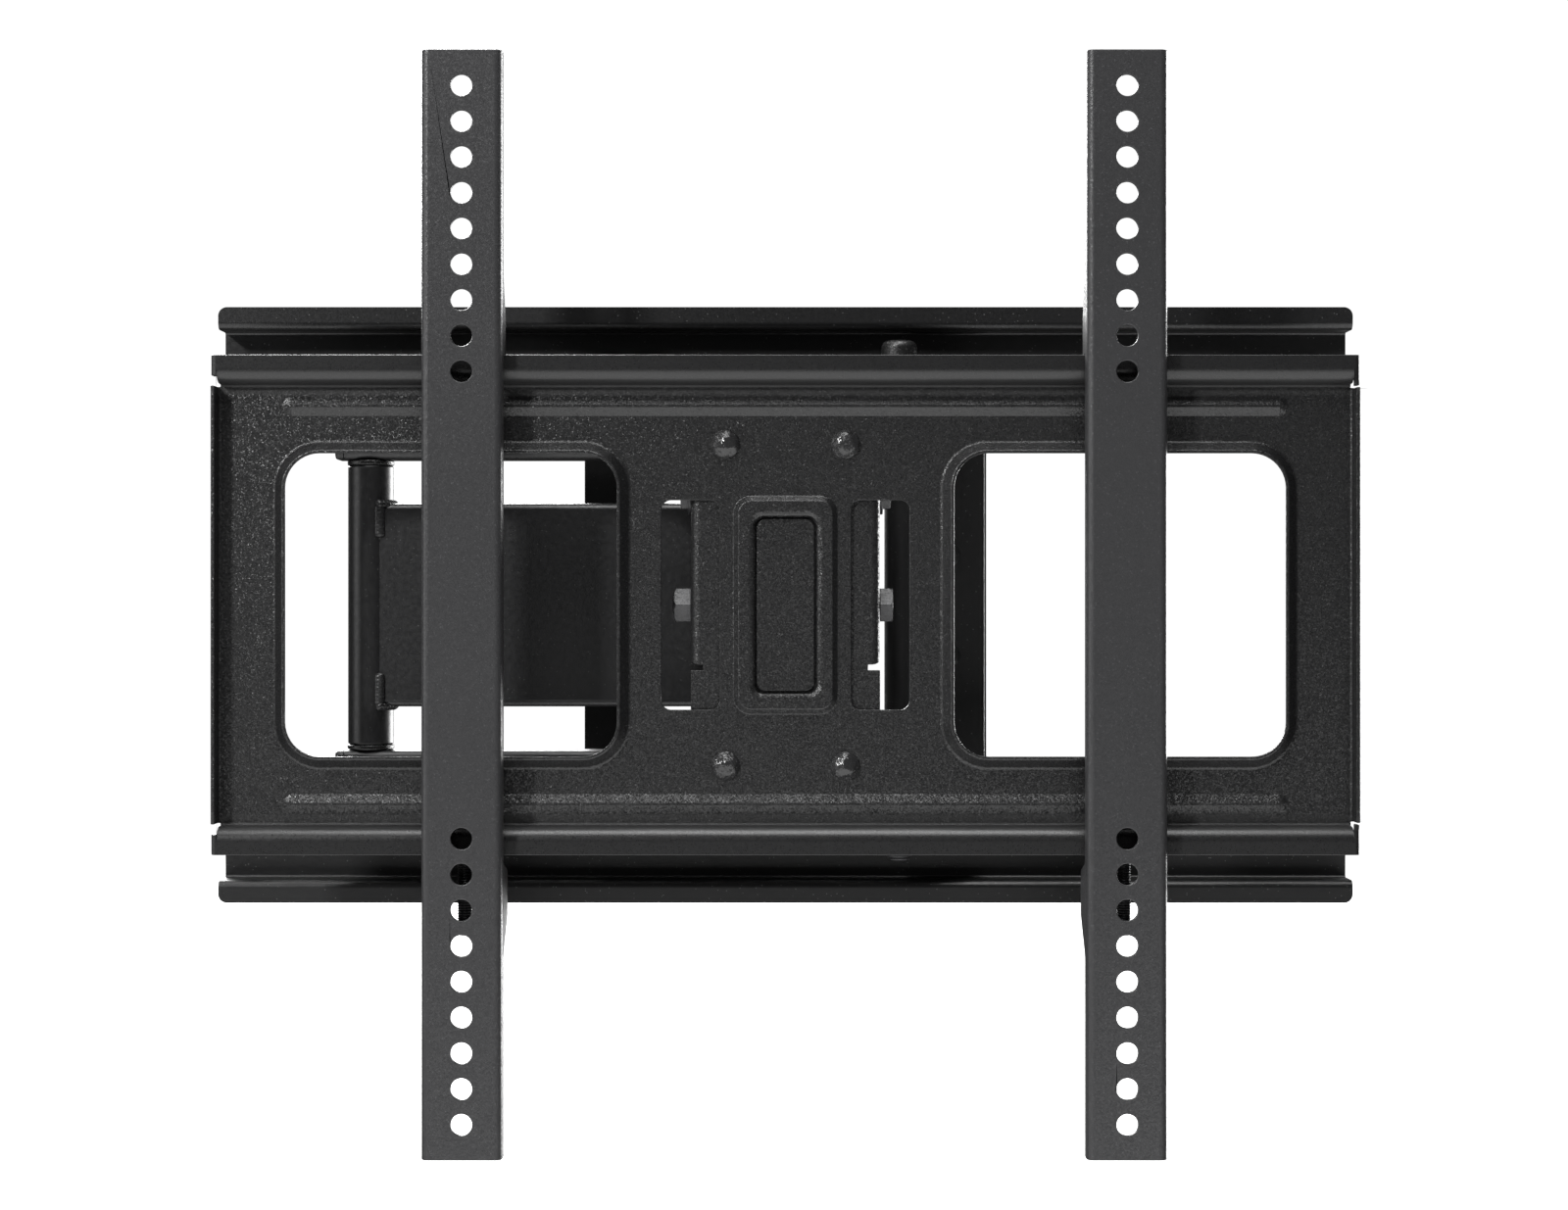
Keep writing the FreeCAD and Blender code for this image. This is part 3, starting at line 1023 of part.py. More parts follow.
os.makedirs("parts", exist_ok=True)
for part_name, shape in all_parts().items():
    solids = shape.Solids
    print(f"{part_name}: {len(solids)} solid(s), {shape.Volume:.1f} mm3, valid {shape.isValid()}")
    shape.exportStep(f"parts/{part_name}.step")
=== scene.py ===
"""Looks of a full-motion display wall mount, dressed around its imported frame.

Metres, in the frame's own axes: +X right and +Z up for someone who faces the wall, and the wall
is the plane Y = 0, so everything in front of it has a negative Y.
"""
import json
import logging
import math
from collections.abc import Callable
from dataclasses import dataclass
from enum import Enum

import bpy
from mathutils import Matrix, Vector


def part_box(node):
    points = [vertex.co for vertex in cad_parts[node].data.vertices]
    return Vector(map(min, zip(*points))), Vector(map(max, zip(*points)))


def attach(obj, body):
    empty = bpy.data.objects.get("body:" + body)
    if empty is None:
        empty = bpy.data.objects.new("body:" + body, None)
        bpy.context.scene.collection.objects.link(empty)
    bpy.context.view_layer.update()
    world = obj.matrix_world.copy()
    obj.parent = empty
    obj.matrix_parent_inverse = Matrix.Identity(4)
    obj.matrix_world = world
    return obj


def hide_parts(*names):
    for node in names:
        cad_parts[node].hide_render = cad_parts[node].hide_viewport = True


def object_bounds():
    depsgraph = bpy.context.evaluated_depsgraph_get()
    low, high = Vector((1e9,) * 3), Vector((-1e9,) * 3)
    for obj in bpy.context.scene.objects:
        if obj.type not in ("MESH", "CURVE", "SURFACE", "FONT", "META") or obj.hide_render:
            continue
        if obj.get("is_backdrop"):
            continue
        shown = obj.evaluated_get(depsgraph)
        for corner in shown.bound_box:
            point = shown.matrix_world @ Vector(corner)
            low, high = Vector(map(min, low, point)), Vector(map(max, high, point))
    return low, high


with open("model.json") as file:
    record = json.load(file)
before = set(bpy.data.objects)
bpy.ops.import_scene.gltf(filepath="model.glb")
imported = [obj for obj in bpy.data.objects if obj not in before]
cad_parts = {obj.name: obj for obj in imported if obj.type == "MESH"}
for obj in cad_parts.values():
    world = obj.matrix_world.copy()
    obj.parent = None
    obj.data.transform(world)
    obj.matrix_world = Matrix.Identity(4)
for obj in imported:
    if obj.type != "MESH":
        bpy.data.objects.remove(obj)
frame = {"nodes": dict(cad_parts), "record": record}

log = logging.getLogger("display_wall_mount")

MM = 0.001
Triple = tuple[float, float, float]

# Limits of the coat, in metres or as shares
FLECK_REACH = 0.42
CALM_FADE = 1.5 * MM
# The crease band's darkening is painted shade, for the shadow in the concave bend where a lip's shelf meets
# the web.
CREASE_INNER = 1.9 * MM
CREASE_OUTER = 3.1 * MM
CREASE_PAINTED_SHADE = 0.7
CREASE_DULLING = 0.25
GRAIN_LOW = 0.35
GRAIN_HIGH = 0.65

# Limits of the mesh work, in metres, degrees or as shares
DOUBLES_APART = 0.001 * MM
ONE_FACE_DEG = 0.4
SMOOTH_DEG = 50.0
LIKE_SIZE = 0.3


class Slot(Enum):
    """The record's material slots, one for each finish of the mount."""

    WALL_PLATE = "wall_plate_coat"
    FACEPLATE = "faceplate_coat"
    RAIL = "rail_coat"
    ARM = "arm_coat"
    RIVET = "rivet_coat"
    FASTENER = "black_fastener"
    PLASTIC = "moulded_plastic"


class Way(Enum):
    """A direction that a fastener or a cut points in."""

    LEFT = (-1.0, 0.0, 0.0)
    UP = (0.0, 0.0, 1.0)
    DOWN = (0.0, 0.0, -1.0)

    @property
    def vector(self) -> Vector:
        """The direction as a unit vector."""
        return Vector(self.value)


# Node helpers for materials


class NodeBoard:
    """Places and links shader nodes in one tree."""

    def __init__(self, tree: bpy.types.NodeTree) -> None:
        """Starts on a tree.

        Args:
            tree: the node tree of a material, a world or a group.
        """
        self.tree = tree
        self.column = 0

    def add(self, kind: str, **settings: object) -> bpy.types.Node:
        """Adds a node and sets its properties and its named input values.

        Args:
            kind: the node's type name, without its ShaderNode prefix.
            settings: properties in lower case, or input sockets with a capital and _ for a space.

        Returns:
            The new node.
        """
        node = self.tree.nodes.new("ShaderNode" + kind)
        node.location = (self.column * 180, 0)
        self.column += 1
        for name, value in settings.items():
            if name[0].isupper():
                node.inputs[name.replace("_", " ")].default_value = value
            else:
                setattr(node, name, value)
        return node

    def link(self, source: bpy.types.NodeSocket, target: bpy.types.NodeSocket) -> None:
        """Joins an output to an input.

        Args:
            source: the output socket.
            target: the input socket.
        """
        self.tree.links.new(source, target)

    def math(self, operation: str, first: object, second: object) -> bpy.types.NodeSocket:
        """Adds a math node on two sockets or numbers.

        Args:
            operation: the math node's operation.
            first: a socket or a number.
            second: a socket or a number.

        Returns:
            The node's output socket.
        """
        node = self.add("Math", operation=operation)
        for index, value in enumerate((first, second)):
            if isinstance(value, (int, float)):
                node.inputs[index].default_value = value
            else:
                self.link(value, node.inputs[index])
        return node.outputs[0]

    def ramp(self, source: bpy.types.NodeSocket, low: float, high: float) -> bpy.types.NodeSocket:
        """Maps a value range onto 0 to 1, clamped.

        Args:
            source: the value.
            low: the value that becomes 0.
            high: the value that becomes 1.

        Returns:
            The mapped output socket.
        """
        node = self.add("MapRange", clamp=True, interpolation_type="SMOOTHSTEP")
        node.inputs["From Min"].default_value = low
        node.inputs["From Max"].default_value = high
        self.link(source, node.inputs["Value"])
        return node.outputs["Result"]


def group_tree(name: str, inputs: dict[str, float], outputs: tuple[str, ...]) -> bpy.types.NodeTree:
    """Makes an empty shader node group with number sockets.

    Args:
        name: the group's name.
        inputs: the input sockets' names and default values.
        outputs: the output sockets' names.

    Returns:
        The group's tree.
    """
    tree = bpy.data.node_groups.new(name, "ShaderNodeTree")
    for socket_name, value in inputs.items():
        socket = tree.interface.new_socket(socket_name, in_out="INPUT", socket_type="NodeSocketFloat")
        socket.default_value = value
    for socket_name in outputs:
        tree.interface.new_socket(socket_name, in_out="OUTPUT", socket_type="NodeSocketFloat")
    return tree


def powder_grain_group() -> bpy.types.NodeTree:
    """Builds the grain of a powder coat: orange peel, fine pimples, bright flecks and slow clouds.

    It also puts out where the calm zone and the crease lie, both by their distance from the level
    of the mount's middle, and a normal that leans another way in each facet outside the calm zone.
    The bright flecks stand partly for flecks in the coat and partly for painted glints. The crease
    marks where painted shade goes, for the shadow in a concave bend.

    Returns:
        The group's tree.
    """
    inputs = {"Peel Scale": 700.0, "Pimple Scale": 2200.0, "Pimple Share": 0.5, "Fleck Scale": 1500.0,
              "Fleck Share": 0.1, "Calm Height": 1.0, "Facet Scale": 1200.0, "Facet Tilt": 0.3,
              "Crease Height": 1.0}
    tree = group_tree("powder_grain", inputs, ("Height", "Fleck", "Cloud", "Calm", "Crease"))
    tree.interface.new_socket("Facet", in_out="OUTPUT", socket_type="NodeSocketVector")
    board = NodeBoard(tree)
    given = tree.nodes.new("NodeGroupInput")
    result = tree.nodes.new("NodeGroupOutput")
    place = board.add("TexCoord").outputs["Object"]
    peel = board.add("TexNoise", Detail=2.0, Roughness=0.5)
    pimple = board.add("TexNoise", Detail=3.0, Roughness=0.6)
    fleck = board.add("TexVoronoi", feature="F1")
    cloud = board.add("TexNoise", Scale=9.0, Detail=3.0)
    for texture in (peel, pimple, fleck, cloud):
        board.link(place, texture.inputs["Vector"])
    board.link(given.outputs["Peel Scale"], peel.inputs["Scale"])
    board.link(given.outputs["Pimple Scale"], pimple.inputs["Scale"])
    board.link(given.outputs["Fleck Scale"], fleck.inputs["Scale"])
    fine = board.math("MULTIPLY", pimple.outputs["Fac"], given.outputs["Pimple Share"])
    coarse_share = board.math("SUBTRACT", 1.0, given.outputs["Pimple Share"])
    coarse = board.math("MULTIPLY", peel.outputs["Fac"], coarse_share)
    board.link(board.math("ADD", fine, coarse), result.inputs["Height"])
    # Bright flecks, partly flecks in the coat and partly painted glints.
    chance = board.add("SeparateColor")
    board.link(fleck.outputs["Color"], chance.inputs["Color"])
    chosen = board.math("LESS_THAN", chance.outputs[0], given.outputs["Fleck Share"])
    near = board.math("LESS_THAN", fleck.outputs["Distance"], FLECK_REACH)
    board.link(board.math("MULTIPLY", chosen, near), result.inputs["Fleck"])
    board.link(cloud.outputs["Fac"], result.inputs["Cloud"])
    parts = board.add("SeparateXYZ")
    board.link(place, parts.inputs["Vector"])
    level = board.math("ABSOLUTE", parts.outputs["Z"], 0.0)
    # The crease band, where the colour gets painted shade for the shadow in a concave bend, and the finish
    # gets duller.
    from_crease = board.math("ABSOLUTE", board.math("SUBTRACT", level, given.outputs["Crease Height"]), 0.0)
    crease = board.math("SUBTRACT", 1.0, board.ramp(from_crease, CREASE_INNER, CREASE_OUTER))
    board.link(crease, result.inputs["Crease"])
    past = board.math("SUBTRACT", level, given.outputs["Calm Height"])
    calm = board.ramp(past, 0.0, CALM_FADE)
    board.link(calm, result.inputs["Calm"])
    facet = board.add("TexVoronoi", feature="F1")
    board.link(place, facet.inputs["Vector"])
    board.link(given.outputs["Facet Scale"], facet.inputs["Scale"])
    off_middle = board.add("VectorMath", operation="SUBTRACT")
    off_middle.inputs[1].default_value = (0.5, 0.5, 0.5)
    board.link(facet.outputs["Color"], off_middle.inputs[0])
    tilt = board.add("VectorMath", operation="SCALE")
    board.link(off_middle.outputs[0], tilt.inputs[0])
    board.link(board.math("MULTIPLY", given.outputs["Facet Tilt"], board.math("SUBTRACT", 1.0, calm)),
               tilt.inputs["Scale"])
    tilted = board.add("VectorMath", operation="ADD")
    board.link(board.add("NewGeometry").outputs["Normal"], tilted.inputs[0])
    board.link(tilt.outputs[0], tilted.inputs[1])
    unit = board.add("VectorMath", operation="NORMALIZE")
    board.link(tilted.outputs[0], unit.inputs[0])
    board.link(unit.outputs[0], result.inputs["Facet"])
    return tree


@dataclass(frozen=True)
class PowderCoat:
    """A textured powder coat on steel, or the fine grain of moulded nylon.

    Past calm_height_mm above or below the mount's middle, calm_share of the grain is gone. A narrow
    band at crease_height_mm is darker, painted shade for the shadow in a concave bend, and duller.
    facet_tilt is how far the facets' normals lean. The bright flecks stand partly for flecks in the
    coat and partly for painted glints.
    """

    name: str
    colour: Triple
    fleck_and_glint_colour: Triple
    roughness: float
    roughness_spread: float
    peel_mm: float
    pimple_mm: float
    pimple_share: float
    fleck_mm: float
    fleck_share: float
    relief_mm: float
    cloud_change: float = 0.12
    specular: float = 0.5
    calm_height_mm: float = 1000.0
    calm_share: float = 0.0
    facet_mm: float = 0.8
    facet_tilt: float = 0.0
    crease_height_mm: float = 1000.0

    def build(self, grain: bpy.types.NodeTree) -> bpy.types.Material:
        """Makes the material.

        Args:
            grain: the powder grain group.

        Returns:
            The material.
        """
        material = bpy.data.materials.new(self.name)
        material.use_nodes = True
        tree = material.node_tree
        shader = tree.nodes["Principled BSDF"]
        board = NodeBoard(tree)
        texture = board.add("Group", node_tree=grain)
        texture.inputs["Peel Scale"].default_value = 1.0 / (self.peel_mm * MM)
        texture.inputs["Pimple Scale"].default_value = 1.0 / (self.pimple_mm * MM)
        texture.inputs["Pimple Share"].default_value = self.pimple_share
        texture.inputs["Fleck Scale"].default_value = 1.0 / (self.fleck_mm * MM)
        texture.inputs["Fleck Share"].default_value = self.fleck_share
        texture.inputs["Calm Height"].default_value = self.calm_height_mm * MM
        texture.inputs["Facet Scale"].default_value = 1.0 / (self.facet_mm * MM)
        texture.inputs["Facet Tilt"].default_value = self.facet_tilt
        texture.inputs["Crease Height"].default_value = self.crease_height_mm * MM
        calmed = board.math("MULTIPLY", texture.outputs["Calm"], self.calm_share)
        grain_left = board.math("SUBTRACT", 1.0, calmed)
        clouded = board.add("MixRGB", blend_type="MIX")
        clouded.inputs["Color1"].default_value = (*[c * (1 - self.cloud_change) for c in self.colour], 1.0)
        clouded.inputs["Color2"].default_value = (*[c * (1 + self.cloud_change) for c in self.colour], 1.0)
        board.link(texture.outputs["Cloud"], clouded.inputs["Fac"])
        # Bright flecks mixed into the colour, partly flecks in the coat and partly painted glints.
        fleck_and_glint_mix = board.add("MixRGB", blend_type="MIX")
        fleck_and_glint_mix.inputs["Color2"].default_value = (*self.fleck_and_glint_colour, 1.0)
        board.link(clouded.outputs["Color"], fleck_and_glint_mix.inputs["Color1"])
        board.link(board.math("MULTIPLY", texture.outputs["Fleck"], grain_left), fleck_and_glint_mix.inputs["Fac"])
        # Painted shade: the colour is darkened in the crease band, for the shadow in the concave bend where a
        # lip's shelf meets the web.
        painted_crease_shade = board.add("MixRGB", blend_type="MULTIPLY", Color2=(*[CREASE_PAINTED_SHADE] * 3, 1.0))
        board.link(fleck_and_glint_mix.outputs["Color"], painted_crease_shade.inputs["Color1"])
        board.link(texture.outputs["Crease"], painted_crease_shade.inputs["Fac"])
        board.link(painted_crease_shade.outputs["Color"], shader.inputs["Base Color"])
        grain_level = board.ramp(texture.outputs["Height"], GRAIN_LOW, GRAIN_HIGH)
        spread = board.math("MULTIPLY", grain_level, self.roughness_spread)
        rough = board.math("ADD", spread, self.roughness - self.roughness_spread / 2)
        dull = board.math("MULTIPLY", texture.outputs["Crease"], CREASE_DULLING)
        board.link(board.math("ADD", rough, dull), shader.inputs["Roughness"])
        bump = board.add("Bump", Strength=1.0, Distance=self.relief_mm * MM)
        level = board.math("SUBTRACT", texture.outputs["Height"], 0.5)
        board.link(board.math("MULTIPLY", level, grain_left), bump.inputs["Height"])
        if self.facet_tilt:
            board.link(texture.outputs["Facet"], bump.inputs["Normal"])
        board.link(bump.outputs["Normal"], shader.inputs["Normal"])
        shader.inputs["Specular IOR Level"].default_value = self.specular
        return material


FINISHES: dict[Slot, PowderCoat] = {
    Slot.WALL_PLATE: PowderCoat(
        "wall_plate_coat", colour=(0.008, 0.008, 0.0083), fleck_and_glint_colour=(0.08, 0.08, 0.08),
        roughness=0.36, roughness_spread=0.12, peel_mm=1.3, pimple_mm=0.6, pimple_share=0.6,
        fleck_mm=0.6, fleck_share=0.015, relief_mm=0.04),
    # The faceplate's crease band at 84.6 mm gets painted shade, for the shadow in the concave bend where each
    # lip's shelf meets the web.
    Slot.FACEPLATE: PowderCoat(
        "faceplate_coat", colour=(0.010, 0.010, 0.0103), fleck_and_glint_colour=(0.05, 0.05, 0.05),
        roughness=0.33, roughness_spread=0.12, peel_mm=1.0, pimple_mm=0.5, pimple_share=0.7,
        fleck_mm=0.5, fleck_share=0.04, relief_mm=0.08, calm_height_mm=84.5, calm_share=0.75,
        facet_mm=0.42, facet_tilt=0.33, crease_height_mm=84.6),
    Slot.RAIL: PowderCoat(
        "rail_coat", colour=(0.029, 0.029, 0.0302), fleck_and_glint_colour=(0.055, 0.055, 0.058),
        roughness=0.36, roughness_spread=0.12, peel_mm=0.9, pimple_mm=0.5, pimple_share=0.5,
        fleck_mm=0.6, fleck_share=0.06, relief_mm=0.08, facet_mm=0.5, facet_tilt=0.13),
    Slot.ARM: PowderCoat(
        "arm_coat", colour=(0.012, 0.012, 0.0125), fleck_and_glint_colour=(0.05, 0.05, 0.05),
        roughness=0.38, roughness_spread=0.1, peel_mm=2.0, pimple_mm=0.8, pimple_share=0.3,
        fleck_mm=0.6, fleck_share=0.02, relief_mm=0.04),
    Slot.RIVET: PowderCoat(
        "rivet_coat", colour=(0.02, 0.02, 0.0205), fleck_and_glint_colour=(0.08, 0.08, 0.08),
        roughness=0.22, roughness_spread=0.1, peel_mm=1.2, pimple_mm=0.5, pimple_share=0.5,
        fleck_mm=0.5, fleck_share=0.04, relief_mm=0.06, facet_mm=0.5, facet_tilt=0.25),
    Slot.FASTENER: PowderCoat(
        "black_fastener", colour=(0.025, 0.025, 0.027), fleck_and_glint_colour=(0.06, 0.06, 0.06),
        roughness=0.35, roughness_spread=0.2, peel_mm=0.9, pimple_mm=0.4, pimple_share=0.5,
        fleck_mm=0.5, fleck_share=0.03, relief_mm=0.02),
    Slot.PLASTIC: PowderCoat(
        "moulded_plastic", colour=(0.012, 0.012, 0.012), fleck_and_glint_colour=(0.07, 0.07, 0.07),
        roughness=0.3, roughness_spread=0.15, peel_mm=1.0, pimple_mm=0.45, pimple_share=0.6,
        fleck_mm=0.5, fleck_share=0.08, relief_mm=0.2),
}


# Modelling helpers


def only(piece: bpy.types.Object) -> None:
    """Selects one object and makes it active.

    Args:
        piece: the object.
    """
    bpy.ops.object.select_all(action="DESELECT")
    piece.select_set(True)
    bpy.context.view_layer.objects.active = piece


def start_edit(piece: bpy.types.Object, test: Callable[[Vector, Vector], bool] | None = None) -> None:
    """Enters edit mode with the faces selected that pass a test, or with all of them.

    Args:
        piece: the object.
        test: takes a face's centre and normal.
    """
    only(piece)
    mesh = piece.data
    for group in (mesh.vertices, mesh.edges):
        group.foreach_set("select", [test is None] * len(group))
    for face in mesh.polygons:
        face.select = test is None or test(face.center, face.normal)
    bpy.ops.object.mode_set(mode="EDIT")
    bpy.ops.mesh.select_mode(type="FACE")


def end_edit() -> None:
    """Leaves edit mode with nothing selected."""
    bpy.ops.mesh.select_all(action="DESELECT")
    bpy.ops.object.mode_set(mode="OBJECT")


def apply_modifier(piece: bpy.types.Object, kind: str, **settings: object) -> None:
    """Adds a modifier, sets it and applies it.

    Args:
        piece: the object.
        kind: the modifier's type.
        settings: its properties.
    """
    only(piece)
    modifier = piece.modifiers.new(kind.lower(), kind)
    for name, value in settings.items():
        setattr(modifier, name, value)
    bpy.ops.object.modifier_apply(modifier=modifier.name)


def settle(piece: bpy.types.Object) -> None:
    """Moves an object's place, turn and scale into its mesh.

    Args:
        piece: the object.
    """
    only(piece)
    bpy.ops.object.transform_apply(location=True, rotation=True, scale=True)


def join(pieces: list[bpy.types.Object]) -> bpy.types.Object:
    """Joins objects into the first of them.

    Args:
        pieces: the objects.

    Returns:
        The joined object.
    """
    bpy.ops.object.select_all(action="DESELECT")
    for piece in pieces:
        piece.select_set(True)
    bpy.context.view_layer.objects.active = pieces[0]
    bpy.ops.object.join()
    return pieces[0]


def own_copy(piece: bpy.types.Object, name: str) -> bpy.types.Object:
    """Copies an object with its own mesh.

    Args:
        piece: the object.
        name: the copy's name.

    Returns:
        The copy.
    """
    copy = bpy.data.objects.new(name, piece.data.copy())
    bpy.context.scene.collection.objects.link(copy)
    return copy


def cut_off(piece: bpy.types.Object, place: Vector, way: Vector) -> None:
    """Cuts away what lies beyond a plane and closes the cut.

    Args:
        piece: the object.
        place: a point on the plane.
        way: the side that is removed.
    """
    start_edit(piece)
    bpy.ops.mesh.bisect(plane_co=place, plane_no=way, use_fill=True, clear_outer=True)
    end_edit()


def root_of(parents: list[int], item: int) -> int:
    """Finds the set that an item belongs to.

    Args:
        parents: each item's parent; a set's root is its own.
        item: the item.

    Returns:
        The set's root.
    """
    while parents[item] != item:
        parents[item] = parents[parents[item]]
        item = parents[item]
    return item


def steady_normals(piece: bpy.types.Object, flat_deg: float = 0.5) -> None:
    """Gives each corner the normal of the largest flat that meets there, so that flats shade evenly.

    Faces in one plane count as one flat. Where flats of like size meet, as along a bend, the corner
    takes their mean.

    Args:
        piece: the object, its sharp edges marked.
        flat_deg: the angle up to which faces count as one flat.
    """
    mesh = piece.data
    faces = mesh.polygons
    flat_of = list(range(len(faces)))
    fan_of = list(range(len(mesh.loops)))
    sides: dict[int, list[tuple[int, int, int]]] = {}
    for face in faces:
        corners = list(face.loop_indices)
        for corner, following in zip(corners, corners[1:] + corners[:1]):
            sides.setdefault(mesh.loops[corner].edge_index, []).append((face.index, corner, following))
    least = math.cos(math.radians(flat_deg))
    for edge, touching in sides.items():
        if len(touching) != 2 or mesh.edges[edge].use_edge_sharp:
            continue
        (face, start, end), (other, other_start, other_end) = touching
        fan_of[root_of(fan_of, start)] = root_of(fan_of, other_end)
        fan_of[root_of(fan_of, end)] = root_of(fan_of, other_start)
        if faces[face].normal.dot(faces[other].normal) > least:
            flat_of[root_of(flat_of, face)] = root_of(flat_of, other)
    area: dict[int, float] = {}
    lean: dict[int, Vector] = {}
    fans: dict[int, set[int]] = {}
    for face in faces:
        flat = root_of(flat_of, face.index)
        area[flat] = area.get(flat, 0.0) + face.area
        lean[flat] = lean.get(flat, Vector()) + face.normal * face.area
        for corner in face.loop_indices:
            fans.setdefault(root_of(fan_of, corner), set()).add(flat)
    way: dict[int, Vector] = {}
    for fan, flats in fans.items():
        largest = max(area[flat] for flat in flats)
        kept = [lean[flat].normalized() for flat in flats if area[flat] > LIKE_SIZE * largest]
        way[fan] = sum(kept, Vector()).normalized()
    mesh.normals_split_custom_set([way[root_of(fan_of, corner)] for corner in range(len(mesh.loops))])


@dataclass(frozen=True)
class EdgeBreak:
    """How far a piece's sharp edges are softened. A width of 0 leaves them sharp."""

    width_mm: float = 0.3
    segments: int = 2
    sharper_than_deg: float = 38.0

    def apply(self, piece: bpy.types.Object) -> None:
        """Rounds the sharp edges, if they have a width, and smooths the shading of the bends.

        Args:
            piece: the object, its doubles merged.
        """
        if self.width_mm:
            apply_modifier(piece, "BEVEL", width=self.width_mm * MM, segments=self.segments,
                           limit_method="ANGLE", angle_limit=math.radians(self.sharper_than_deg),
                           use_clamp_overlap=False)
        only(piece)
        bpy.ops.object.shade_smooth_by_angle(angle=math.radians(SMOOTH_DEG), keep_sharp_edges=True)
        steady_normals(piece)


CUT_EDGE = EdgeBreak(0.0)
SHEET_EDGE = EdgeBreak(0.3)
FINE_EDGE = EdgeBreak(0.18)
INSERT_EDGE = EdgeBreak(0.15)
RAIL_EDGE = EdgeBreak(0.4)
MOULDED_EDGE = EdgeBreak(0.45, 3)


class Workshop:
    """Makes the finishes and dresses the pieces."""

    def __init__(self) -> None:
        """Builds every finish once."""
        grain = powder_grain_group()
        self.materials = {slot: finish.build(grain) for slot, finish in FINISHES.items()}
        self.slots = {part["node"]: Slot(part["material_slot"]) for part in frame["record"]["subparts"]}
        self.bodies = {node: body for body, nodes in frame["record"]["behaviour"]["bodies"].items()
                       for node in nodes}

    def dress(self, piece: bpy.types.Object, slot: Slot, body: str) -> None:
        """Gives a piece its finish and the body it rides on.

        Args:
            piece: the finished object.
            slot: its material slot.
            body: the body's name.
        """
        piece.data.materials.clear()
        piece.data.materials.append(self.materials[slot])
        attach(piece, body)
        log.info("%s: %d faces", piece.name, len(piece.data.polygons))

    def copy_of(self, node: str) -> bpy.types.Object:
        """Copies a node, its loose triangles merged into faces.

        Args:
            node: the node's name.

        Returns:
            The copy.
        """
        piece = own_copy(frame["nodes"][node], "finished_" + node)
        start_edit(piece)
        bpy.ops.mesh.remove_doubles(threshold=DOUBLES_APART)
        bpy.ops.mesh.dissolve_limited(angle_limit=math.radians(ONE_FACE_DEG))
        end_edit()
        return piece

    def stand_in(self, piece: bpy.types.Object, node: str, edge: EdgeBreak | None) -> bpy.types.Object:
        """Softens a piece's edges, dresses it, and lets it stand for a node.

        Args:
            piece: the piece.
            node: the node that it replaces.
            edge: how its edges are softened, or None to leave them.

        Returns:
            The piece.
        """
        if edge is not None:
            edge.apply(piece)
        self.dress(piece, self.slots[node], self.bodies[node])
        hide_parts(node)
        return piece

    def finish_plain(self, nodes: tuple[str, ...], edge: EdgeBreak) -> None:
        """Softens and dresses nodes whose shape needs nothing more.

        Args:
            nodes: the nodes' names.
            edge: how their edges are softened.
        """
        for node in nodes:
            self.stand_in(self.copy_of(node), node, edge)


# Fasteners


@dataclass(frozen=True)
class Thread:
    """A screw thread's sizes."""

    radius_mm: float
    pitch_mm: float
    depth_mm: float
    sides: int = 28

    def rod(self, base: Vector, way: Vector, length: float) -> bpy.types.Object:
        """Turns a threaded rod from a thin disc, one flank at a time.

        Args:
            base: the middle of the rod's first end.
            way: the direction that it grows in.
            length: its length in metres.

        Returns:
            The rod.
        """
        crest = self.radius_mm * MM
        root = crest - self.depth_mm * MM
        half = self.pitch_mm * MM / 2
        turn = Vector((0.0, 0.0, 1.0)).rotation_difference(way).to_euler()
        bpy.ops.mesh.primitive_cylinder_add(vertices=self.sides, radius=root, depth=half,
                                            location=base + way * half / 2, rotation=turn)
        rod = bpy.context.active_object
        settle(rod)
        reach = half
        start_edit(rod, lambda centre, normal: normal.dot(way) > 0.9)
        ratio = crest / root
        while reach < length - half / 2:
            step = min(half, length - reach)
            bpy.ops.mesh.extrude_region_move(TRANSFORM_OT_translate={"value": way * step})
            reach += step
            scale = tuple(1.0 if abs(axis) > 0.5 else ratio for axis in way)
            bpy.ops.transform.resize(value=scale, center_override=base + way * reach)
            ratio = 1.0 / ratio
        end_edit()
        return rod


COARSE_THREAD = Thread(3.95, 1.25, 0.6)
SCREW_THREAD = Thread(2.97, 1.0, 0.45)


def hex_socket(piece: bpy.types.Object, mouth: Vector, way: Vector, across_mm: float,
               depth_mm: float) -> None:
    """Sinks a six-sided key socket into a bolt's head.

    Args:
        piece: the bolt.
        mouth: the middle of the head's face.
        way: the direction that the head faces.
        across_mm: the socket's width across its corners.
        depth_mm: its depth.
    """
    depth = depth_mm * MM
    turn = Vector((0.0, 0.0, 1.0)).rotation_difference(way).to_euler()
    bpy.ops.mesh.primitive_cylinder_add(vertices=6, radius=across_mm * MM / 2, depth=depth * 2,
                                        location=mouth, rotation=turn)
    key = bpy.context.active_object
    settle(key)
    apply_modifier(piece, "BOOLEAN", operation="DIFFERENCE", solver="EXACT", object=key)
    bpy.data.objects.remove(key)


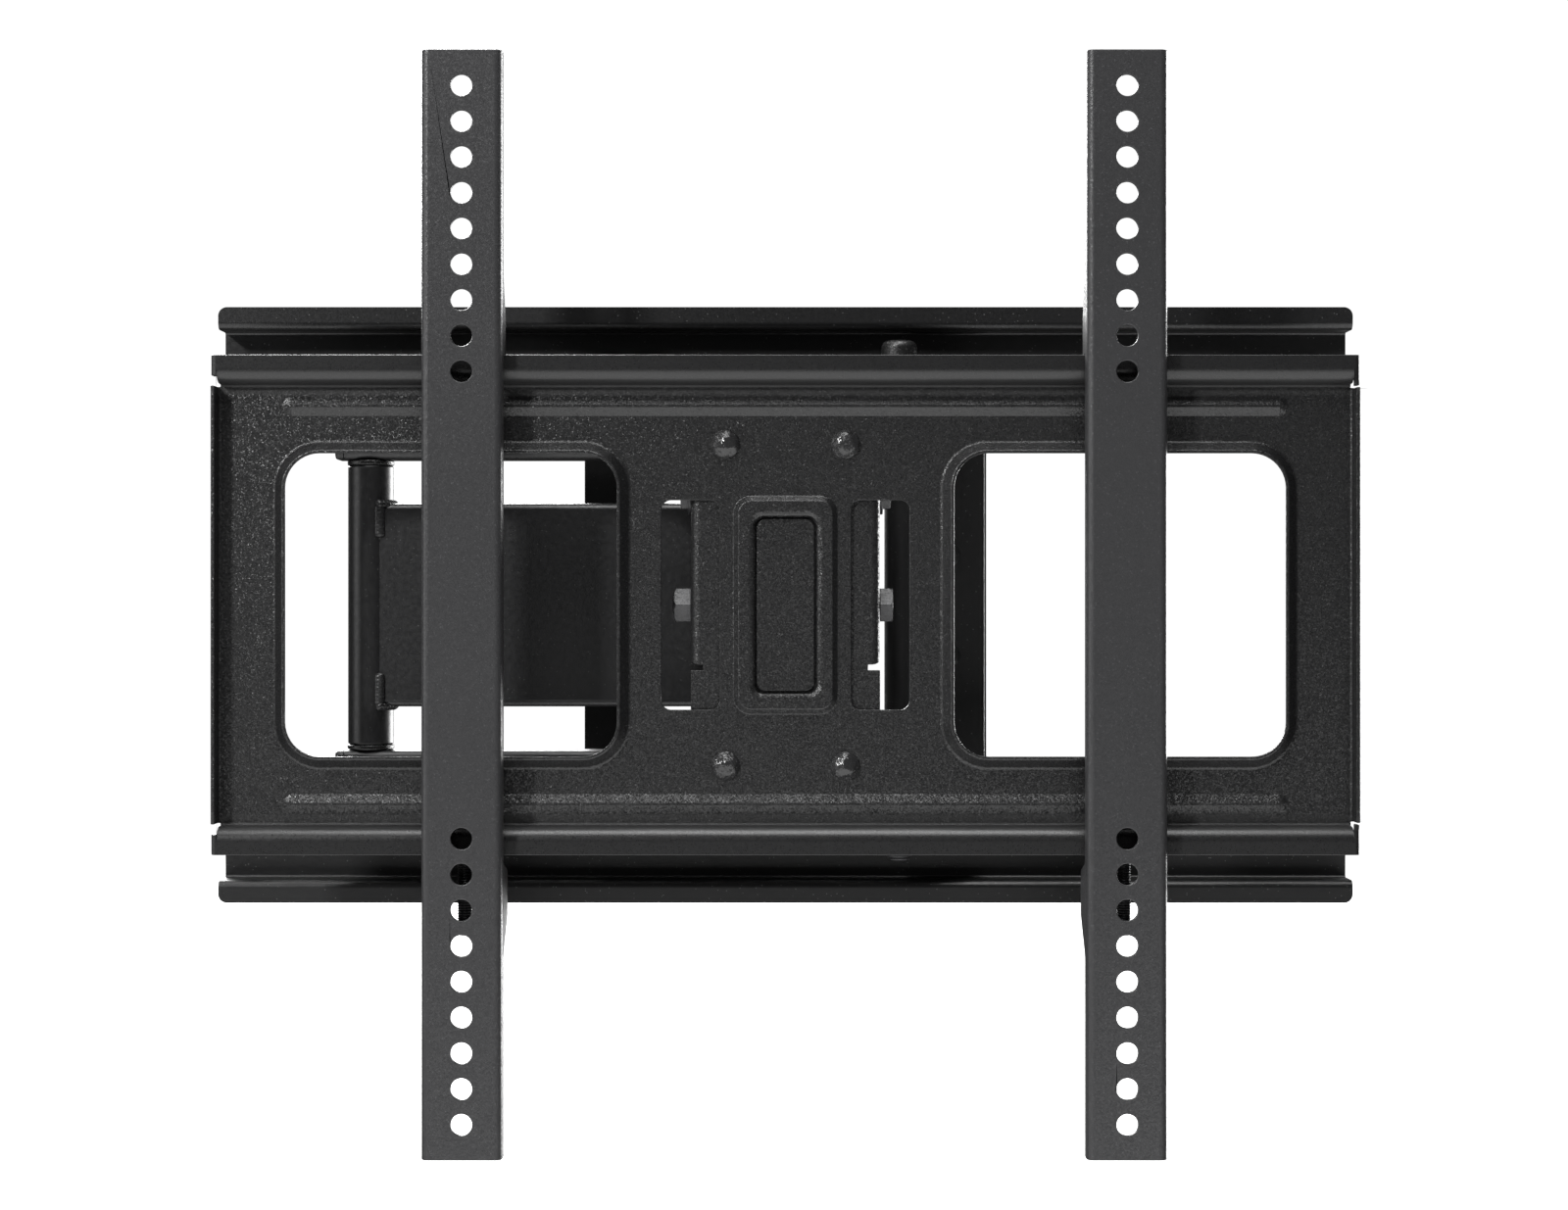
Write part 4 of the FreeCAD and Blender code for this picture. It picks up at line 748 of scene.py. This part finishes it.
@dataclass(frozen=True)
class NutInsert:
    """The nylon ring in a locking nut's end, which grips the thread."""

    inner_mm: float = 4.05
    outer_mm: float = 4.75
    proud_mm: float = 0.35

    def build(self, workshop: Workshop, name: str, face: Vector, way: Vector, body: str) -> None:
        """Makes the ring on a nut's end face.

        Args:
            workshop: dresses the ring.
            name: the ring's name.
            face: the middle of the nut's end face.
            way: the direction that the end faces.
            body: the body that it rides on.
        """
        turn = Vector((0.0, 0.0, 1.0)).rotation_difference(way).to_euler()
        bpy.ops.mesh.primitive_circle_add(vertices=40, radius=self.inner_mm * MM, fill_type="NOTHING",
                                          location=face, rotation=turn)
        ring = bpy.context.active_object
        ring.name = name
        only(ring)
        bpy.ops.object.mode_set(mode="EDIT")
        bpy.ops.mesh.select_mode(type="EDGE")
        bpy.ops.mesh.select_all(action="SELECT")
        bpy.ops.mesh.extrude_edges_move()
        ratio = self.outer_mm / self.inner_mm
        scale = tuple(1.0 if abs(axis) > 0.5 else ratio for axis in way)
        bpy.ops.transform.resize(value=scale, center_override=face)
        bpy.ops.mesh.select_all(action="SELECT")
        bpy.ops.mesh.normals_make_consistent(inside=False)
        end_edit()
        settle(ring)
        apply_modifier(ring, "SOLIDIFY", thickness=self.proud_mm * MM * 2, offset=0.0)
        INSERT_EDGE.apply(ring)
        workshop.dress(ring, Slot.PLASTIC, body)


@dataclass(frozen=True)
class ThreadedBolt:
    """A bolt whose end past its nut shows its thread."""

    node: str
    axis: Triple
    way: Way
    nut_end: float
    end: float
    head_face: float | None = None
    socket_across_mm: float = 5.6
    socket_depth_mm: float = 3.0
    thread: Thread = COARSE_THREAD

    def build(self, workshop: Workshop) -> None:
        """Cuts the plain end off, screws a threaded one on and sinks the key socket.

        Args:
            workshop: copies and dresses the bolt.
        """
        bolt = workshop.copy_of(self.node)
        way = self.way.vector
        line = Vector(self.axis)
        start = line + way * self.nut_end
        cut_off(bolt, start, way)
        if self.head_face is not None:
            hex_socket(bolt, line - way * self.head_face, -way, self.socket_across_mm, self.socket_depth_mm)
        FINE_EDGE.apply(bolt)
        rod = self.thread.rod(start - way * self.thread.pitch_mm * MM / 4, way, self.end - self.nut_end)
        FINE_EDGE.apply(rod)
        workshop.stand_in(join([bolt, rod]), self.node, None)


@dataclass(frozen=True)
class HammeredRivet:
    """A rivet whose head keeps the marks of the tool that closed it."""

    voxel_mm: float = 0.26
    mark_mm: float = 3.4
    mark_depth_mm: float = 0.6
    unmarked_mm: float = 0.4

    def build(self, workshop: Workshop, node: str, marks: bpy.types.Texture, front: float) -> None:
        """Remeshes a rivet evenly and dents its head.

        Args:
            workshop: copies and dresses the rivet.
            node: the rivet's node.
            marks: the dents' texture.
            front: the depth where its heads start.
        """
        rivet = workshop.copy_of(node)
        apply_modifier(rivet, "REMESH", mode="VOXEL", voxel_size=self.voxel_mm * MM)
        head = rivet.vertex_groups.new(name="head")
        lifted = [v.index for v in rivet.data.vertices if -v.co.y > front + self.unmarked_mm * MM]
        head.add(lifted, 1.0, "REPLACE")
        apply_modifier(rivet, "SMOOTH", factor=0.4, iterations=2)
        apply_modifier(rivet, "DISPLACE", texture=marks, texture_coords="LOCAL",
                       strength=self.mark_depth_mm * MM, mid_level=0.5, vertex_group="head")
        apply_modifier(rivet, "SMOOTH", factor=0.4, iterations=1)
        only(rivet)
        bpy.ops.object.shade_smooth()
        rivet.vertex_groups.clear()
        workshop.stand_in(rivet, node, None)


def hammer_marks(mark_mm: float) -> bpy.types.Texture:
    """Makes the dents that a rivet tool leaves, as a cell pattern.

    Args:
        mark_mm: the dents' width.

    Returns:
        The texture.
    """
    marks = bpy.data.textures.new("hammer_marks", "VORONOI")
    marks.noise_scale = mark_mm * MM
    marks.noise_intensity = 1.0
    return marks


# Welds


@dataclass(frozen=True)
class WeldStitch:
    """A short run of weld, laid as overlapping scales."""

    width_mm: float = 4.6
    height_mm: float = 1.5
    pitch_mm: float = 1.5
    voxel_mm: float = 0.34
    lean: float = 0.35
    overlap: float = 1.15
    odd_width: float = 0.95
    odd_height: float = 0.96

    def lay(self, name: str, spots: list[Vector], outward: list[Vector],
            along: list[Vector]) -> bpy.types.Object:
        """Lays scales at spots and melts them into one bead.

        Args:
            name: the bead's name.
            spots: where each scale sits.
            outward: the direction away from the metal at each spot.
            along: the bead's direction at each spot.

        Returns:
            The bead.
        """
        scales = []
        for index, spot in enumerate(spots):
            bpy.ops.mesh.primitive_uv_sphere_add(segments=16, ring_count=8, radius=MM, location=spot)
            scale = bpy.context.active_object
            side = along[index].cross(outward[index]).normalized()
            tilted = (outward[index] + along[index] * self.lean).normalized()
            forward = side.cross(tilted)
            size = (self.width_mm / 2, self.pitch_mm * self.overlap, self.height_mm)
            if index % 2:
                size = (size[0] * self.odd_width, size[1], size[2] * self.odd_height)
            matrix = scale.matrix_world.copy()
            for column, (direction, length) in enumerate(zip((side, forward, tilted), size)):
                for row in range(3):
                    matrix[row][column] = direction[row] * length
            scale.matrix_world = matrix
            settle(scale)
            scales.append(scale)
        bead = join(scales)
        bead.name = name
        start_edit(bead)
        bpy.ops.mesh.normals_make_consistent(inside=False)
        end_edit()
        apply_modifier(bead, "REMESH", mode="VOXEL", voxel_size=self.voxel_mm * MM)
        apply_modifier(bead, "SMOOTH", factor=0.4, iterations=2)
        only(bead)
        bpy.ops.object.shade_smooth()
        return bead


# The mount's sub-assemblies


@dataclass
class WallFrame:
    """The plate on the wall with its pivot bracket, rivets, bolt, nut and cap."""

    workshop: Workshop
    marks: bpy.types.Texture
    pivot_x: float = 0.046
    pivot_depth: float = 0.028
    rivet_front: float = 0.005
    rivet_mark_depth_mm: float = 0.35

    def build(self) -> None:
        """Builds and dresses the wall frame."""
        self.workshop.finish_plain(("wall_plate",), CUT_EDGE)
        self.workshop.finish_plain(("wall_pivot_bracket",), SHEET_EDGE)
        self.workshop.finish_plain(("wall_pivot_cap",), MOULDED_EDGE)
        self.workshop.finish_plain(("wall_pivot_nut",), FINE_EDGE)
        rivets = HammeredRivet(mark_depth_mm=self.rivet_mark_depth_mm)
        rivets.build(self.workshop, "wall_bracket_rivets", self.marks, self.rivet_front)
        low = -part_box("wall_pivot_nut")[0][2]
        end = -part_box("wall_pivot_bolt")[0][2]
        axis = (self.pivot_x, -self.pivot_depth, 0.0)
        ThreadedBolt("wall_pivot_bolt", axis, Way.DOWN, low, end).build(self.workshop)
        face = Vector(axis) + Vector((0.0, 0.0, -low))
        NutInsert().build(self.workshop, "wall_pivot_nut_insert", face, Way.DOWN.vector, "wall")


@dataclass
class RearArm:
    """The two rear tubes, their end caps, and the bolts and washers that ride with them."""

    workshop: Workshop
    elbow_x: float = -0.1677
    pivot_depth: float = 0.028

    def build(self) -> None:
        """Builds and dresses the rear arm."""
        self.workshop.finish_plain(("rear_upper_tube", "rear_lower_tube", "wall_pivot_sleeve"), SHEET_EDGE)
        caps = tuple(f"rear_{level}_{end}_cap" for level in ("upper", "lower") for end in ("elbow", "wall"))
        self.workshop.finish_plain(caps, MOULDED_EDGE)
        washers = tuple(f"{place}_{level}_washer" for place in ("wall_pivot", "elbow")
                        for level in ("upper", "lower"))
        self.workshop.finish_plain(washers + ("elbow_nut",), FINE_EDGE)
        low = -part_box("elbow_nut")[0][2]
        end = -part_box("elbow_bolt")[0][2]
        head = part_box("elbow_bolt")[1][2]
        axis = (self.elbow_x, -self.pivot_depth, 0.0)
        ThreadedBolt("elbow_bolt", axis, Way.DOWN, low, end, head).build(self.workshop)
        face = Vector(axis) + Vector((0.0, 0.0, -low))
        NutInsert().build(self.workshop, "elbow_nut_insert", face, Way.DOWN.vector, "rear_arm")


@dataclass
class FrontArm:
    """The tall tube welded between the elbow barrel and the head barrel."""

    workshop: Workshop
    elbow_x: float = -0.1677
    head_x: float = 0.0
    pivot_depth: float = 0.028
    barrel_r: float = 0.00915
    tube_half_height: float = 0.0409
    tube_half_thick: float = 0.008
    stitch_length: float = 0.011
    stitch_drop: float = 0.62
    weld_lift: float = 0.2 * MM
    end_steps: int = 12
    end_flare: float = 0.5
    stitch: WeldStitch = WeldStitch()

    def build(self) -> None:
        """Builds and dresses the front arm."""
        self.workshop.finish_plain(("front_arm_tube", "elbow_barrel", "head_barrel"), SHEET_EDGE)
        bushes = tuple(f"{place}_{level}_bush" for place in ("elbow", "head") for level in ("upper", "lower"))
        self.workshop.finish_plain(bushes, MOULDED_EDGE)
        self.side_welds()
        self.end_welds()

    def side_welds(self) -> None:
        """Stitches the tube's four upright seams at their upper and lower ends."""
        pitch = self.stitch.pitch_mm * MM
        count = round(self.stitch_length / pitch)
        spots = [Vector((0.0, 0.0, (index - count / 2) * pitch)) for index in range(count + 1)]
        out = [Vector((0.0, -1.0, 0.0))] * len(spots)
        up = [Vector((0.0, 0.0, 1.0))] * len(spots)
        model = self.stitch.lay("weld_model", spots, out, up)
        seam = math.sqrt(self.barrel_r ** 2 - self.tube_half_thick ** 2)
        for place, barrel_x, side in (("elbow", self.elbow_x, 1), ("head", self.head_x, -1)):
            for facing, turn in (("front", 0.0), ("back", math.pi)):
                for level, up_down in (("upper", 1), ("lower", -1)):
                    bead = own_copy(model, f"weld_{place}_{facing}_{level}")
                    depth = self.tube_half_thick * (1 if facing == "front" else -1)
                    height = (self.tube_half_height - self.stitch_length * self.stitch_drop) * up_down
                    reach = seam + self.weld_lift
                    bead.location = (barrel_x + side * reach, -self.pivot_depth - depth, height)
                    bead.rotation_euler = (0.0, 0.0, turn)
                    settle(bead)
                    self.workshop.dress(bead, Slot.ARM, "front_arm")
        bpy.data.objects.remove(model)

    def end_welds(self) -> None:
        """Runs a bead round the elbow barrel over the tube's upper and lower face."""
        seam = math.sqrt(self.barrel_r ** 2 - self.tube_half_thick ** 2)
        reach = math.atan2(self.tube_half_thick, seam)
        count = self.end_steps
        for level, side in (("upper", 1), ("lower", -1)):
            angles = [reach * (2 * index / count - 1) for index in range(count + 1)]
            radius = self.barrel_r + self.weld_lift
            spots = [Vector((self.elbow_x + radius * math.cos(a), -self.pivot_depth + radius * math.sin(a),
                             self.tube_half_height * side)) for a in angles]
            outward = [Vector((math.cos(a) * self.end_flare, math.sin(a) * self.end_flare, side)).normalized()
                       for a in angles]
            along = [Vector((-math.sin(a), math.cos(a), 0.0)) for a in angles]
            bead = self.stitch.lay(f"weld_elbow_{level}_end", spots, outward, along)
            self.workshop.dress(bead, Slot.ARM, "front_arm")


@dataclass
class SwivelHead:
    """The yoke that turns on the head barrel, with the tilt axle and its lock bolts."""

    workshop: Workshop
    head_x: float = 0.0
    pivot_depth: float = 0.028
    tilt_depth: float = 0.056

    def build(self) -> None:
        """Builds and dresses the swivel head."""
        self.workshop.finish_plain(("swivel_yoke",), SHEET_EDGE)
        small = ("swivel_nut", "tilt_axle_nut", "tilt_sleeve", "tilt_lock_bolt_left", "tilt_lock_bolt_right",
                 "tilt_lock_nut_left", "tilt_lock_nut_right")
        self.workshop.finish_plain(small, FINE_EDGE)
        low = -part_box("swivel_nut")[0][2]
        end = -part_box("swivel_bolt")[0][2]
        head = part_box("swivel_bolt")[1][2]
        axis = (self.head_x, -self.pivot_depth, 0.0)
        ThreadedBolt("swivel_bolt", axis, Way.DOWN, low, end, head).build(self.workshop)
        face = Vector(axis) + Vector((0.0, 0.0, -low))
        NutInsert().build(self.workshop, "swivel_nut_insert", face, Way.DOWN.vector, "swivel")
        left = -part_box("tilt_axle_nut")[0][0]
        end = -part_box("tilt_axle")[0][0]
        axis = (0.0, -self.tilt_depth, 0.0)
        ThreadedBolt("tilt_axle", axis, Way.LEFT, left, end).build(self.workshop)
        face = Vector((-left, -self.tilt_depth, 0.0))
        NutInsert().build(self.workshop, "tilt_axle_nut_insert", face, Way.LEFT.vector, "swivel")


@dataclass
class DisplayHead:
    """The pressed faceplate, the tilt bracket behind it and the rivets that join them."""

    workshop: Workshop
    marks: bpy.types.Texture
    face_front: float = 0.0705
    rib_low: float = 0.0732
    rib_high: float = 0.082
    rib_reach: float = 0.1
    rib_rise: float = 0.2 * MM
    slope_least: float = 0.8
    slope_most: float = 0.97

    def build(self) -> None:
        """Builds and dresses the display head."""
        self.workshop.finish_plain(("tilt_bracket",), SHEET_EDGE)
        plate = self.workshop.copy_of("faceplate")
        start_edit(plate, self.on_rib)
        bpy.ops.mesh.region_to_loop()
        bpy.ops.mesh.mark_sharp()
        end_edit()
        self.workshop.stand_in(plate, "faceplate", SHEET_EDGE)
        for level in ("upper", "lower"):
            for side in ("left", "right"):
                node = f"face_rivet_{level}_{side}"
                HammeredRivet().build(self.workshop, node, self.marks, self.face_front)

    def on_rib(self, centre: Vector, normal: Vector) -> bool:
        """Tells whether a face is a slope of one of the two pressed ribs.

        Args:
            centre: the face's centre.
            normal: its normal.

        Returns:
            Whether it is.
        """
        inside = self.rib_low < abs(centre.z) < self.rib_high and abs(centre.x) < self.rib_reach
        raised = -centre.y > self.face_front + self.rib_rise
        return inside and raised and self.slope_least < -normal.y < self.slope_most


@dataclass
class DisplayRails:
    """The two hooked rails that carry a display, each with its lock screw."""

    workshop: Workshop
    head_height: float = 4.5 * MM
    neck_gap: float = 0.2 * MM
    socket_across_mm: float = 4.7
    socket_depth_mm: float = 2.6

    def build(self) -> None:
        """Builds and dresses the rails."""
        for side in ("left", "right"):
            self.workshop.finish_plain((f"{side}_display_rail",), RAIL_EDGE)
            self.lock_screw(f"{side}_lock_screw")

    def lock_screw(self, node: str) -> None:
        """Gives a lock screw its thread and key socket.

        Args:
            node: the screw's node.
        """
        low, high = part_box(node)
        middle = Vector(((low[0] + high[0]) / 2, (low[1] + high[1]) / 2, 0.0))
        neck = low[2] + self.head_height
        screw = ThreadedBolt(node, tuple(middle), Way.UP, nut_end=neck + self.neck_gap, end=high[2],
                             head_face=-low[2], socket_across_mm=self.socket_across_mm,
                             socket_depth_mm=self.socket_depth_mm, thread=SCREW_THREAD)
        screw.build(self.workshop)


# The studio


@dataclass(frozen=True)
class Lamp:
    """A square lamp that points at the mount, or at a place of its own."""

    name: str
    place: Triple
    size: float
    power: float
    aim: Triple = (0.0, 0.0, 0.0)

    def hang(self) -> None:
        """Adds the lamp."""
        data = bpy.data.lights.new(self.name, "AREA")
        data.shape = "SQUARE"
        data.size = self.size
        data.energy = self.power
        lamp = bpy.data.objects.new(self.name, data)
        lamp.location = self.place
        lamp.rotation_euler = (Vector(self.aim) - lamp.location).to_track_quat("-Z", "Y").to_euler()
        lamp.visible_camera = False
        bpy.context.scene.collection.objects.link(lamp)


LAMPS = (
    Lamp("key_lamp", (-1.62, -2.03, 1.30), 0.3, 62.0),
    Lamp("top_lamp", (0.0, -0.45, 1.4), 1.0, 24.0),
    Lamp("table_lamp", (0.0, -0.95, -0.62), 2.0, 24.0, (0.0, -0.95, 0.0)),
    Lamp("side_lamp", (-2.0, -0.75, 0.15), 1.0, 7.0),
    Lamp("rear_lamp", (-0.9, 1.9, 1.1), 1.4, 150.0),
    Lamp("rear_fill_lamp", (1.5, 1.7, 0.1), 1.4, 90.0),
)


@dataclass
class Studio:
    """Pale floor, plain light and the camera."""

    camera_distance: float = 1.216
    focal_px: float = 2996.0
    photo_width_px: float = 1600.0
    centre_px: float = 801.5
    sensor_mm: float = 36.0
    floor_drop: float = 0.12
    floor_size: float = 30.0
    floor_shade: float = 0.5
    floor_roughness: float = 0.9
    room_light: float = 0.05
    seen_light: float = 1.05

    def camera(self) -> None:
        """Makes the camera straight in front of the mount."""
        data = bpy.data.cameras.new("camera")
        data.sensor_width = self.sensor_mm
        data.lens = self.focal_px / self.photo_width_px * self.sensor_mm
        data.shift_x = (self.photo_width_px / 2 - self.centre_px) / self.photo_width_px
        data.dof.use_dof = False
        data.clip_start = 0.01
        data.clip_end = 100.0
        camera = bpy.data.objects.new("camera", data)
        camera.location = (0.0, -self.camera_distance, 0.0)
        camera.rotation_euler = (math.radians(90), 0.0, 0.0)
        bpy.context.scene.collection.objects.link(camera)
        bpy.context.scene.camera = camera

    def floor(self) -> None:
        """Lays a plain pale floor under the mount."""
        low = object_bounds()[0][2] - self.floor_drop
        bpy.ops.mesh.primitive_plane_add(size=self.floor_size, location=(0.0, 0.0, low))
        floor = bpy.context.active_object
        floor.name = "floor"
        material = bpy.data.materials.new("pale_floor")
        material.use_nodes = True
        shader = material.node_tree.nodes["Principled BSDF"]
        shader.inputs["Base Color"].default_value = (*[self.floor_shade] * 3, 1.0)
        shader.inputs["Roughness"].default_value = self.floor_roughness
        shader.inputs["Emission Color"].default_value = (1.0, 1.0, 1.0, 1.0)
        board = NodeBoard(material.node_tree)
        seen = board.add("LightPath").outputs["Is Camera Ray"]
        board.link(seen, shader.inputs["Emission Strength"])
        floor.data.materials.append(material)
        floor.visible_shadow = False
        floor.visible_diffuse = False
        floor.visible_glossy = False
        floor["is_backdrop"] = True

    def room(self) -> None:
        """Sets a white surround that lights the mount only softly."""
        world = bpy.data.worlds.new("room")
        bpy.context.scene.world = world
        world.use_nodes = True
        board = NodeBoard(world.node_tree)
        background = world.node_tree.nodes["Background"]
        background.inputs["Color"].default_value = (1.0, 1.0, 1.0, 1.0)
        seen = board.add("LightPath").outputs["Is Camera Ray"]
        strength = board.math("MULTIPLY", seen, self.seen_light - self.room_light)
        board.link(board.math("ADD", strength, self.room_light), background.inputs["Strength"])

    def build(self) -> None:
        """Sets up the whole studio."""
        self.camera()
        self.room()
        for lamp in LAMPS:
            lamp.hang()
        self.floor()
        bpy.context.scene.view_settings.view_transform = "Standard"
        log.info("studio ready")


def main() -> None:
    """Builds the studio and every sub-assembly."""
    logging.basicConfig(level=logging.INFO, format="%(name)s: %(message)s")
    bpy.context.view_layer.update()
    Studio().build()
    workshop = Workshop()
    marks = hammer_marks(HammeredRivet.mark_mm)
    WallFrame(workshop, marks).build()
    RearArm(workshop).build()
    FrontArm(workshop).build()
    SwivelHead(workshop).build()
    DisplayHead(workshop, marks).build()
    DisplayRails(workshop).build()


if __name__ == "__main__":
    main()
